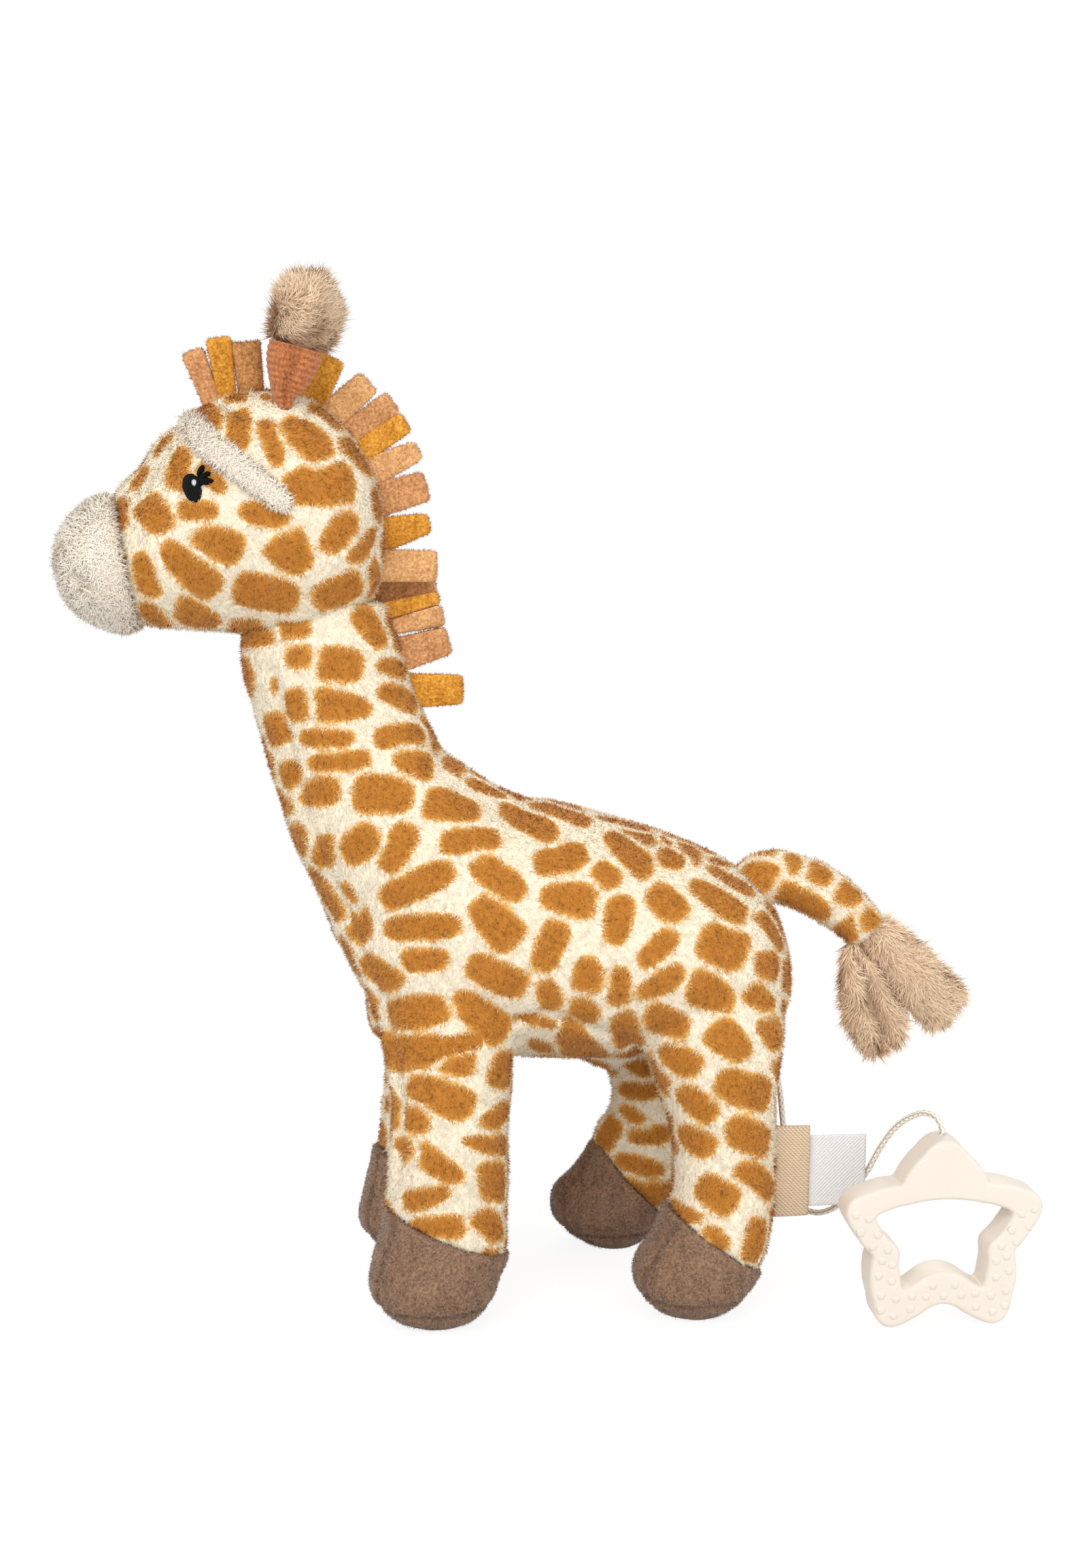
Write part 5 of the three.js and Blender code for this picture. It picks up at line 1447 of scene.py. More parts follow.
@dataclass
class Body:
    """Torso, neck and legs: one skin of printed plush with its seams and its pile."""

    view: PhotoView
    inset: float = -0.9
    neck_inset: float = -0.3
    legs_inset: float = -1.3
    voxel: float = 1.5
    rounds: int = 22
    neck_front: tuple = (
        (400, 985), (412, 1040), (426, 1100), (440, 1160), (462, 1230), (490, 1300), (520, 1370),
        (545, 1430), (568, 1490), (582, 1560), (588, 1640), (584, 1745))
    belly: tuple = ((763, 1500), (800, 1492), (850, 1506), (900, 1524), (946, 1551), (965, 1610))
    # Tracks of the layout, with how deep each is pressed, below zero for a ridge, and how wide
    presses: tuple = (
        (((-8.5, -16, 157), (-8.5, 16, 157)), 5.0, 23.0),
        (((-54.5, -12, 113), (-54.5, 12, 113)), -2.9, 17.0),
        (((-45, -12, 90), (-45, 12, 90)), 1.8, 13.0),
        (((-40.5, -18, 83), (-40.5, 0, 80), (-40, 18, 76)), -2.6, 12.0),
        (((83.5, -18, 97), (83.5, 18, 97)), 1.4, 24.0),
        (((30, 4, 68), (30, 26, 64)), -6.0, 15.0),
        (((31.5, 21, 50), (29, 21, 44)), -3.0, 11.0),
        (((26, 21.5, 38), (18, 22.5, 31)), -6.0, 12.0),
        (((-38.5, 21, 70), (-41.5, 22, 40)), 3.2, 14.0),
        (((-39, -21, 62), (-41, -21, 46)), 1.6, 12.0))
    leg_top: float = 0.085
    neck_back: float = -0.03
    piles: tuple = ("left_flank_pile", "right_flank_pile", "neck_pile", "left_leg_pile",
                    "right_leg_pile")
    skin: Optional[Skin] = None

    def build(self) -> Skin:
        """Joins the forms, relaxes the cloth and sews the seams.

        Returns:
            The skin.
        """
        shells = [TORSO.loft(90, 80, self.inset), NECK.loft(90, 72, self.neck_inset)]
        shells += [leg.halves(self.legs_inset)[0] for leg in LEGS]
        self.skin = Skin("body_skin", shells, SPOTTED, self.voxel, self.rounds)
        for track, depth, width in self.presses:
            self.skin.dent(in_frame(track), width, depth)
        tree = self.skin.tree()
        for pixels, width, depth in ((self.neck_front, 3.0, 1.3), (self.belly, 3.2, 1.6)):
            self.skin.dent_sides(track_on(self.view, tree, pixels), width, depth)
        self.skin.crumple(17, 0.7, 3)
        self.skin.crumple(7, 0.28, 5)
        return self.skin

    def covered(self, name: str, p: np.ndarray) -> np.ndarray:
        """Tells which places a piece of pile covers.

        Args:
            name: the pile's name.
            p: places in metres.

        Returns:
            True for each place that it covers.
        """
        left, above, behind = p[:, 1] < MIDDLE, p[:, 2] > self.leg_top, p[:, 0] > self.neck_back
        return dict(zip(self.piles, (
            left & above & behind, ~left & above & behind, above & ~behind, left & ~above,
            ~left & ~above)))[name]

    def dress(self) -> None:
        """Rides, replaces the solids and grows the pile."""
        dressed(self.skin.piece, "printed_plush", "torso", "neck",
                *[f"leg_{leg.name}" for leg in LEGS], fill=0.85)
        for k, name in enumerate(self.piles):
            pile = Pile(1.7, 0.36, 5.4, 1.02, nap=(-0.25, 0, -1), scatter=1.2, seed=20 + k)
            pile.grow(name, self.skin.mesh, SPOTTED_PILE, "printed_plush",
                      lambda p: self.covered(name, p), ["print"])


@dataclass
class Head:
    """The head, its muzzle, brows and eyes."""

    view: PhotoView
    inset: float = -0.9
    top_seam: tuple = ((320, 592), (345, 604), (380, 612), (415, 618), (445, 610), (470, 592))
    mouth: tuple = ((112, 850), (119, 852), (118, 862), (116, 876))
    forehead: tuple = ((-101, 0, 249), (-106, 0, 244), (-111, 0, 239))
    # Shares of the head's length and height, and half the brow's width
    brow: tuple = (
        (0.305, 0.39, 0.3), (0.345, 0.335, 0.5), (0.408, 0.263, 0.5), (0.483, 0.203, 0.5),
        (0.552, 0.145, 0.48), (0.61, 0.095, 0.4), (0.642, 0.05, 0.15))
    brow_size: tuple = (0.0068, 0.0030)
    brow_lift: float = 0.0009
    beside: float = 90.0  # millimetres aside, outside the head
    # Millimetres back and up from the eye's middle, half width, half height, and turn
    stitches: tuple = ((0.0, 0.0, 2.6, 4.1, 12.0), (3.4, 1.6, 2.6, 0.9, 10.0),
                       (3.3, 3.0, 2.2, 0.75, 35.0), (2.4, 4.4, 1.9, 0.7, 62.0))
    glint: tuple = ((0.9, 1.1, 0.65, 1.0, 0.0),)
    stitch_pitch: float = 13.0  # radians per millimetre
    skin: Optional[Skin] = None

    def build(self) -> Skin:
        """The printed skin of the head.

        Returns:
            The skin.
        """
        self.skin = Skin("head_skin", [HEAD.loft(90, 80, self.inset)], SPOTTED, 1.3, 10)
        tree = self.skin.tree()
        self.skin.dent(track_on(self.view, tree, self.top_seam), 2.6, 1.2)
        self.skin.dent(in_frame(self.forehead), 13.0, -2.8)
        self.skin.crumple(15, 0.6, 8)
        self.skin.crumple(6, 0.22, 9)
        return self.skin

    def dress(self) -> None:
        """Rides, replaces the solid and grows the pile."""
        dressed(self.skin.piece, "printed_plush", "head", fill=0.9)
        Pile(1.7, 0.36, 5.6, 1.02, nap=(0.5, 0, -1), scatter=1.2, seed=40).grow(
            "head_pile", self.skin.mesh, SPOTTED_PILE, "printed_plush", None, ["print"])

    def muzzle(self) -> None:
        """The long-pile muzzle, pinched where the mouth is."""
        skin = Skin("muzzle_skin", [MUZZLE.loft(60, 60, -1.6)], CREAM_PILE, 1.2, 8)
        skin.dent(track_on(self.view, skin.tree(), self.mouth), 3.2, 3.0)
        pile = Pile(2.4, 0.40, 7.5, 0.95, nap=(-0.35, 0, -1), scatter=1.5, joints=2, curl=0.35,
                    clump=0.55, seed=50)
        dress_pile(skin.piece, "muzzle", CREAM_PILE, "cream_pile", pile, 0.8, tip=0.35)

    def brows(self) -> None:
        """A strip of long pile over each eye."""
        tree = self.skin.tree()
        for side, hand in (("left", -1), ("right", 1)):
            rows = []
            for x, z, half in self.brow:
                at = in_frame(HEAD.at(x, hand * self.beside, z))
                hit = tree.ray_cast(Vector(at), Vector((0, -hand, 0)))
                rows.append([*hit[0], *hit[1], half])
            rows = smooth_rows(np.array(rows), 30)
            centre, out = rows[:, :3], unit(rows[:, 3:6])
            across = np.cross(unit(np.gradient(centre, axis=0)), out)
            ring = tube(centre + out * self.brow_lift, (across, out),
                        [rows[:, 6] * size for size in self.brow_size], 18)
            pile = Pile(2.1, 0.40, 9.0, 0.92, nap=(0.3, 0, -1), scatter=1.5, joints=2, curl=0.35,
                        clump=0.5, seed=60 + hand)
            dress_pile(ring_piece(f"brow_{side}_skin", ring, CREAM_PILE), f"brow_{side}",
                       CREAM_PILE, "cream_pile", pile, 0.6, tip=0.5)

    def eyes(self) -> None:
        """Embroidered eyes: a satin-stitched oval, lashes and a white glint."""
        tree = self.skin.tree()
        for side, hand in (("left", -1), ("right", 1)):
            at = in_frame(HEAD.at(0.325, hand * self.beside, 0.127))
            dressed(self.stitched(f"eye_{side}_stitch", THREAD, tree, at, hand, self.stitches),
                    "eye_thread", f"eye_{side}")
            dressed(self.stitched(f"eye_{side}_glint", GLINT, tree, at, hand, self.glint, 1.5),
                    "eye_thread")

    def stitched(self, name: str, finish: Finish, tree: BVHTree, at: np.ndarray, hand: int,
                 patches: Sequence[Sequence[float]], rise: float = 1.0) -> Object:
        """Domed patches of stitches that follow the head.

        Args:
            name: the piece's name.
            finish: its thread.
            tree: the head's surface.
            at: the eye's place, outside the head.
            hand: -1 on the left, 1 on the right.
            patches: place from the eye's middle, half sizes and turn of each.
            rise: how far they stand out, in millimetres.

        Returns:
            The piece.
        """
        points, faces, phase = [], [], []
        rings, around = 8, 28
        for dx, dz, half_x, half_z, tilt in patches:
            first, a = len(points) + 1, math.radians(tilt)
            for i in range(rings + 1):
                r = i / rings
                for k in range(around if i else 1):
                    q = 2 * math.pi * k / around
                    x, z = half_x * r * math.cos(q), half_z * r * math.sin(q)
                    px = dx + x * math.cos(a) - z * math.sin(a)
                    pz = dz + x * math.sin(a) + z * math.cos(a)
                    start = Vector((at[0] + px * MM, at[1], at[2] + pz * MM))
                    hit = tree.ray_cast(start, Vector((0, -hand, 0)))
                    lift = 0.5 + rise * math.sqrt(max(0.0, 1 - r ** 3)) if i < rings else -0.2
                    phase.append(x * self.stitch_pitch)
                    lift += 0.10 * math.sin(phase[-1])
                    points.append(np.array(hit[0] + hit[1] * lift * MM))
            for k in range(around):
                after = (k + 1) % around
                faces.append([first - 1, first + k, first + after])
                for a0 in range(first, first + (rings - 1) * around, around):
                    faces.append([a0 + k, a0 + around + k, a0 + around + after, a0 + after])
        piece = mesh_piece(name, points, faces, finish)
        hold(piece.data, stitch=phase)
        return piece


@dataclass
class Hooves:
    """Four hooves of short velour, each with a seam down its front and one round its sole."""

    rounded: float = 3.2
    instep: tuple = ((26, 21.5, 38), (18, 22.5, 31), (13, 23, 26))
    sole: float = 6.4
    turned: float = -0.45
    lowest: float = 0.0001
    stitch_gap: float = 0.0008
    bare: float = 0.0012  # no nap below this height

    def seams(self, skin: Skin, low: Vector, high: Vector) -> list[np.ndarray]:
        """Where the seams run on a hoof.

        Args:
            skin: the hoof's skin.
            low: the lowest corner of its solid's box.
            high: the highest.

        Returns:
            Points of the seam down its front, and of the one round its sole.
        """
        tree, middle, half = skin.tree(), (low + high) / 2, (high - low) / 2
        front, sole = [], []
        for t in np.linspace(0.1, 0.95, 14):
            start = Vector((low.x - 0.02, middle.y + half.y * self.turned,
                            low.z + half.z * 2 * t))
            front.append(tree.ray_cast(start, Vector((1, 0, 0)))[0])
        for t in np.linspace(0, 2 * math.pi, 60):
            out = Vector((math.cos(t), math.sin(t), 0))
            start = Vector((middle.x, middle.y, self.sole * MM)) + out * 0.05
            sole.append(tree.ray_cast(start, -out)[0])
        return [np.array([p for p in run if p is not None]) for run in (front, sole)]

    def build(self) -> None:
        """Makes and dresses each hoof."""
        for k, leg in enumerate(LEGS):
            name = f"hoof_{leg.name}"
            skin = Skin(f"{name}_skin", [leg.halves(-0.4)[1]], HOOF, 0.85, 9)
            low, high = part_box(name)
            middle, half = (low + high) / 2, (high - low) / 2
            co = skin.points()
            out = np.hypot((co[:, 0] - middle.x) / half.x, (co[:, 1] - middle.y) / half.y)
            edge = np.clip((out - 0.3) / 0.6, 0, 1) ** 1.6 * np.clip(1 - co[:, 2] / 0.012, 0, 1)
            co[:, 2] += edge * self.rounded * MM
            skin.put(co)
            if leg.swing > 10:
                skin.dent(in_frame(self.instep), 12.0, -6.0)
            skin.crumple(9, 0.4, 12 + k)
            runs = self.seams(skin, low, high)
            for run in runs:
                skin.dent(run, 1.5, 1.1)
            co = skin.points()
            co[:, 2] = np.maximum(co[:, 2], self.lowest)
            skin.put(co)
            stitched = near_search(np.concatenate(runs))
            gap = np.array([stitched.find(Vector(p))[2] for p in co])
            # Darker near the seams: painted shade in their grooves.
            hold(skin.mesh, seam=np.clip(1.3 - gap / (1.3 * MM), 0, 1))
            dressed(skin.piece, "hoof_velour", name, fill=0.85)
            nap = Pile(1.0, 0.28, 7.0, 0.8, nap=(-0.2, 0, -1), scatter=1.2, seed=70 + k)
            nap.grow(f"{name}_nap", skin.mesh, HOOF_NAP, "hoof_velour", lambda p: np.array([
                q[2] > self.bare and stitched.find(Vector(q))[2] > self.stitch_gap for q in p
            ]), ["seam"])


@dataclass
class Horns:
    """Two horns: ribbed stems pinched at the foot, under balls of long pile."""

    spread: float = 14.0
    ribs: int = 12
    rib_height: float = 0.020
    rings: int = 110
    around: int = 64

    def build(self) -> None:
        """Makes and dresses both horns."""
        share = np.linspace(0, 1, self.rings)
        turn = 2 * np.pi * np.arange(self.around) / self.around
        wave = np.cos(2 * np.pi * self.ribs * share)
        foot = np.clip(1.25 - share, 0.35, 1)
        for side, hand, back, up in (("left", -1, 0, 0), ("right", 1, 3, -3)):
            move = (back, hand * self.spread, up)
            ring = HORN_STEM.moved(*move).loft(self.rings, self.around, -0.2)[0][:-2].reshape(
                self.rings, self.around, 3)
            middle = ring.mean(1)[:, None]
            fold = np.exp(-((np.sin(turn) * hand - 1) / 0.03) ** 2) * 0.3
            grow = (1 + self.rib_height * wave[:, None, None]) * (
                1 - fold[None, :, None] * foot[:, None, None])
            stem = ring_piece(f"horn_stem_{side}_cloth",
                              in_frame(middle + (ring - middle) * grow), RUST_RIB)
            # Painted shade between the ribs and in the pinched fold at the foot.
            valley = np.repeat(0.5 - 0.5 * wave, self.around) * 0.8
            valley = np.clip(valley + np.tile(fold * 3.2, self.rings), 0, 1)
            hold(stem.data, valley=np.append(valley, [0.5, 0.5]))
            dressed(stem, "rust_rib_cloth", f"horn_stem_{side}", fill=0.5)
            tip = Skin(f"horn_tip_{side}_skin", [HORN_TIP.moved(*move).loft(50, 48, -2.9)],
                       PALE_PILE, 1.1, 5)
            tip.crumple(6, 0.7, 30 + hand)
            pile = Pile(4.2, 0.34, 8.0, 1.05, nap=(0.5, 0.0, 0.5), scatter=0.55, joints=2, curl=0.2,
                        clump=0.9, seed=80 + hand)
            dress_pile(tip.piece, f"horn_tip_{side}", PALE_PILE, "beige_pile", pile, 0.8)


def dress_pile(piece: Object, name: str, finish: Finish, slot: str, pile: Pile,
               fill: float, body: str = "giraffe", tip: float = 0.3) -> None:
    """Dresses a stuffed piece and covers it in long pile.

    Args:
        piece: the piece.
        name: the CAD node that it stands for.
        finish: finish of the pile.
        slot: the record's slot.
        pile: the pile.
        fill: how full it is stuffed.
        body: the body that it rides on.
        tip: how light its own cloth is, from root to tip of a strand; the darker root end is
            painted shade under the pile.
    """
    hold(piece.data, tip=tip, own=0.5)
    dressed(piece, slot, name, body=body, fill=fill)
    pile.grow(f"{name}_pile", piece.data, finish, slot, body=body)


@dataclass
class Tail:
    """The stuffed tail and its tuft of two flaps."""

    fold: tuple = ((1262, 1400), (1276, 1450), (1292, 1500), (1308, 1545))
    root: Colour = (0.060, 0.0024, 0.121)
    free: Colour = (0.072, 0.0024, 0.121)
    skin: Optional[Skin] = None

    def build(self) -> Skin:
        """The printed skin of the tail, with the ball at its root.

        Returns:
            The skin.
        """
        self.skin = Skin(
            "tail_skin", [TAIL.moved(0, 0, 0.2).loft(70, 48, -0.1), TAIL_BALL.loft(40, 40)],
            SPOTTED, 1.0, 8)
        self.skin.crumple(8, 0.35, 17)
        return self.skin

    def dress(self, view: PhotoView) -> None:
        """Grows the tail's pile, bakes the tail's place into its mesh, hides its solid, and adds
        the tuft.

        Args:
            view: the photograph's view.
        """
        piece = self.skin.piece
        strands = Pile(1.8, 0.36, 5.4, 1.02, nap=(1, 0, -0.4), scatter=1.0, seed=90).grow(
            "tail_pile", self.skin.mesh, SPOTTED_PILE, "printed_plush", None, ["print"], body="")
        for part in (piece, strands):
            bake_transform(part)
        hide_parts("tail")
        for name, form, seed, nap in (("back", TUFT_BACK, 92, (0.7, 0, -0.7)),
                                      ("front", TUFT_FRONT, 94, (0.15, 0, -1))):
            name = f"tail_tuft_{name}"
            flap = Skin(f"{name}_skin", [form.loft(56, 40, -2.5)], BEIGE_PILE, 1.0, 3)
            flap.crumple(7, 0.8, seed)
            if form is TUFT_FRONT:
                flap.dent_sides(track_on(view, flap.tree(), self.fold), 3.4, 4.6)
            pile = Pile(4.4, 0.34, 7.5, 1.12, nap=nap, scatter=0.45, joints=2, curl=0.3,
                        clump=0.45, seed=seed)
            dress_pile(flap.piece, name, BEIGE_PILE, "beige_pile", pile, 0.5, body="tail")


class LoopShape(Enum):
    """How a mane loop shows: folded flat, or an open roll seen from its end."""

    FOLDED = "folded"
    OPEN = "open"


@dataclass
class Loop:
    """One loop: its foot, the way that it stands, the way across it, and how far it stands out."""

    at: np.ndarray
    out: np.ndarray
    up: np.ndarray
    length: float
    width: float = 8.0
    thickness: float = 1.5
    root: float = 4.0
    bulge: float = 2.0
    rise: float = 1.4  # how far each layer stands from the middle at the fold
    foot: float = 0.65  # and at the seam

    def roll(self) -> list:
        """The loop rolled up, with its mouth open to the front.

        Returns:
            Its rings, from the foot over the rim and down inside.
        """
        rings = []
        for along, share in ((-self.root, 0.9), (0.2, 0.94), (0.5, 1.0), (0.8, 1.03), (0.96, 1.04),
                             (1.0, 0.97), (0.99, 0.84), (0.9, 0.78), (0.6, 0.75), (0.5, 0.3)):
            reach = along * self.length if along > 0 else along
            ring = []
            for q in np.linspace(0, 2 * math.pi, 32, endpoint=False):
                low = 1.5 * max(0.0, -math.sin(q)) * max(0.0, along - 0.5)
                ring.append(self.at + self.out * (reach - low) + ACROSS * 2.7 * share * math.sin(q)
                            + self.up * (self.width / 2 * share * math.cos(q)))
            rings.append(ring)
        return rings

    def profile(self) -> np.ndarray:
        """The middle of the folded ribbon, seen from its edge.

        Returns:
            Points along the loop and across it.
        """
        back, points = self.length - self.bulge, []
        for t in np.linspace(0, 1, 44):
            if abs(t - 0.5) < 0.1:
                a = math.pi * (t - 0.5) / 0.2
                points.append((back + self.rise * math.cos(a), self.rise * math.sin(a)))
            else:
                s = min(t, 1 - t) / 0.4
                apart = self.foot + (self.rise - self.foot) * s ** 2.2
                points.append((-self.root + (back + self.root) * s, math.copysign(apart, t - 0.5)))
        return np.array(points)

    def folded(self, tip: float, foot: float, twist: float, bow: float) -> list:
        """The loop folded flat.

        Args:
            tip: how wide it is at its tip, as a share.
            foot: and at its foot.
            twist: how far it is wrung.
            bow: how far it is bent across its width.

        Returns:
            Its rings, from one sewn end round the fold to the other.
        """
        fold, rings = self.profile(), []
        for (along, aside), (tx, ty) in zip(fold, unit(np.gradient(fold, axis=0))):
            share = min(max(along / self.length, 0), 1)
            half = self.width / 2 * (foot * 1.22 + (tip * 1.06 - foot * 1.22) * share)
            half -= 0.5 * math.exp(-((along - self.length) / 0.9) ** 2)
            ring = []
            for q in np.linspace(0, 2 * math.pi, 24, endpoint=False):
                c, s = math.cos(q), math.sin(q)
                edge = math.copysign(abs(c) ** 0.45, c)
                thick = self.thickness / 2 * math.copysign(abs(s) ** 0.7, s)
                lift = twist * along * edge + bow * share ** 2 * edge ** 2 * 0.5
                ring.append(self.at + self.out * (along - ty * thick) + self.up * half * edge
                            + ACROSS * (aside + tx * thick + lift))
            rings.append(ring)
        return rings


@dataclass
class Mane:
    """Sixteen loops of folded velour ribbon along the seam of head and neck."""

    length: float = 14.0
    # Foot on the head by shares, turn, and shares of length, tip, foot and place aside
    loops: tuple = (
        (0.375, 0.485, 0.307, 0.93, 0.75, 0.55, 0), (0.436, 0.499, 0.271, 1.07, 0.85, 0.55, 0),
        (0.522, 0.511, 0.265, 0.94, 0.95, 0.85, 0), (0.745, 0.478, 0.177, 0.88, 0.88, 0.85, 0),
        (0.822, 0.421, 0.116, 0.91, 0.86, 0.85, 0), (0.883, 0.348, 0.098, 1.01, 0.8, 0.7, 0),
        (0.931, 0.281, 0.093, 0.97, 0.75, 0.7, 0), (0.968, 0.198, 0.068, 0.94, 0.64, 0.85, 0),
        (0.987, 0.084, 0.043, 0.94, 1, 1, 0), (0.994, -0.055, 0.037, 0.94, 0.65, 1, 0),
        (0.992, -0.18, -0.003, 1.07, 1.05, 0.95, -0.12),
        (1.003, -0.282, 0.019, 1.01, 0.7, 0.7, 0.66),
        (1.016, -0.353, 0.039, 1, 0.42, 0.5, -0.06), (1.029, -0.419, 0.034, 1.01, 0.78, 0.48, 0),
        (1.059, -0.53, 0.045, 0.97, 0.95, 1, 0), (1.107, -0.678, 0.001, 0.95, 1, 1, 0))
    colours: tuple = (ROSE, MUSTARD, TAN, MUSTARD, APRICOT, ROSE, MUSTARD, APRICOT, ROSE, MUSTARD,
                      APRICOT, ROSE, MUSTARD, APRICOT, ROSE, MUSTARD)
    slots: dict = field(default_factory=lambda: {
        ROSE: "ribbon_rose", MUSTARD: "ribbon_mustard", TAN: "ribbon_tan",
        APRICOT: "ribbon_apricot"})
    shapes: dict = field(default_factory=lambda: {2: LoopShape.OPEN})

    def build(self) -> None:
        """Makes and dresses each loop."""
        rng = np.random.default_rng(5)
        for k, (x, z, turn, stretch, tip, root, aside) in enumerate(self.loops):
            length, a = self.length * stretch, 2 * math.pi * turn
            out = np.array([math.cos(a), 0, math.sin(a)])
            loop = Loop(HEAD.at(x, aside * Loop.width, z), out, np.cross(out, ACROSS), length)
            twist, bow = rng.normal(0, 0.06), rng.normal(0, 0.5)
            if self.shapes.get(k, LoopShape.FOLDED) is LoopShape.OPEN:
                rings = loop.roll()
            else:
                rings = loop.folded(tip, root, twist, bow)
            number, colour = f"{k + 1:02d}", self.colours[k]
            piece = ring_piece(f"ribbon_loop_{number}", in_frame(rings), colour)
            dressed(piece, self.slots[colour], f"mane_loop_{number}")
            Pile(1.0, 0.3, 6.5, 0.85, nap=tuple(out), scatter=1.3, seed=100 + k).grow(
                f"ribbon_nap_{number}", piece.data, NAPS[colour], self.slots[colour])


# ---- labels, cord and star


@dataclass
class Labels:
    """A woven and a satin label, both bare, sewn into the hind leg's rear seam."""

    sewn: float = 4.0
    seam: float = 75.4
    left: float = -28.0

    def build(self) -> None:
        """Makes and dresses both labels."""
        self.tape("woven_label", 9.0, 27.0, 40.6, self.left, 0.55, True, TWILL, "woven_tape")
        self.tape("care_label", 26.0, 21.4, 40.1, self.left + 1.1, 0.18, False, SATIN, "satin_tape")

    def tape(self, name: str, reach: float, height: float, middle: float, y: float, thick: float,
             folded: bool, finish: Finish, slot: str) -> None:
        """One label: a folded or single tape with a slight wave.

        Args:
            name: the CAD node that it stands for.
            reach: millimetres that it stands out of the seam.
            height: millimetres up and down.
            middle: height of its middle above the floor.
            y: its place across.
            thick: thickness of one layer.
            folded: doubles it back into the seam.
            finish: its finish.
            slot: the record's slot.
        """
        whole = reach + self.sewn
        run = 2 * whole if folded else whole
        across, along = 36, (64 if folded else 40)
        points, warp, weft, bend = [], [], [], 0.45
        for face in (1, -1):
            for i in range(along + 1):
                t = i / along * run
                x, offset, normal = t, 0.0, (0.0, -1.0)
                if folded:
                    s = min(max((t - (whole - bend)) / (2 * bend), 0), 1) * math.pi
                    x = min(t, run - t)
                    if abs(t - whole) <= bend:
                        x = whole - bend + bend * math.sin(s)
                    offset, normal = -bend * math.cos(s), (-math.cos(s), -math.cos(s))
                for j in range(across + 1):
                    z = (j / across - 0.5) * height
                    wave = 0.35 * math.sin(x / whole * 3.0 + z * 0.13) * (x / whole)
                    points.append((self.seam - self.sewn + x + normal[0] * face * thick / 2,
                                   y + offset + wave + normal[1] * face * thick / 2, middle + z))
                    warp.append(t * MM)
                    weft.append(z * MM)
        n, m = (along + 1) * (across + 1), across + 1
        faces = []
        for i in range(along):
            for j in range(across):
                q = i * m + j
                faces += [[q, q + 1, q + m + 1, q + m],
                          [n + q, n + q + m, n + q + m + 1, n + q + 1]]
        edge = [(i * m + j, (i + 1) * m + j) for j in (0, across) for i in range(along)]
        edge += [(i * m + j, i * m + j + 1) for i in (0, along) for j in range(across)]
        faces += [[a, b, n + b, n + a] for a, b in edge]
        piece = mesh_piece(f"{name}_tape", in_frame(points), faces, finish)
        hold(piece.data, warp=warp, weft=weft)
        dressed(piece, slot, name)


CORD_ROUTE = (
    (71.2, 0, 73.3), (74, 0, 72), (77, -0.2, 69.2), (79.4, -0.8, 64.6), (80.8, -2, 58),
    (81.6, -3.5, 49), (82.2, -5.2, 40), (82.8, -6.6, 32), (84.2, -8.2, 26), (86.9, -11, 23.2),
    (90, -14.2, 22.8), (93.6, -17, 24.6), (96.6, -19.6, 28), (99.6, -22.4, 33),
    (102.4, -24.6, 38.4), (105.4, -27.6, 46.4), (108.6, -31, 53.2), (112, -35.6, 58),
    (115.3, -40, 60.4), (117.7, -43.6, 59.8), (118.8, -44.9, 56.8), (118.8, -45, 54.2))


@dataclass
class PullCord:
    """The braided pull cord, from its eyelet to the star."""

    diameter: float = 1.8
    exit: Colour = (70.6, 0.0, 73.6)
    around: int = 16
    steps: int = 260
    bend_from: int = 6  # a point of the drawn line, counted from either end

    def build(self) -> None:
        line = in_frame(smooth_rows(np.array(CORD_ROUTE, float), self.steps))
        along = unit(np.gradient(line, axis=0))
        across = unit(np.cross(along, [0.0, 0.0, 1.0]))
        radius = np.full(self.steps, self.diameter / 2 * MM)
        ring = tube(line, (across, np.cross(along, across)), (radius, radius), self.around)
        piece = ring_piece("pull_cord_braid", ring, CORD_WHITE)
        run = np.append(0, np.cumsum(np.linalg.norm(np.diff(line, axis=0), axis=1)))
        turn = 2 * np.pi * np.arange(self.around) / self.around
        hold(piece.data, run=np.append(np.repeat(run, self.around), [0, run[-1]]),
             turn=np.append(np.tile(turn, self.steps), [0, 0]))
        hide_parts("pull_cord")
        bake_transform(piece)
        log.info("pull cord: %.1f mm long", run[-1] / MM)
        for node, finish in (("cord_eyelet", CASE), ("cord_inner", CORD_WHITE)):
            repaint(frame["nodes"][node], finish)


def repaint(node: Object, finish: Finish) -> None:
    """Gives a CAD node another finish in its material slots.

    Args:
        node: the node's object.
        finish: the finish.
    """
    if not node.material_slots:
        node.data.materials.append(finish.material())
    for place in node.material_slots:
        place.material = finish.material()


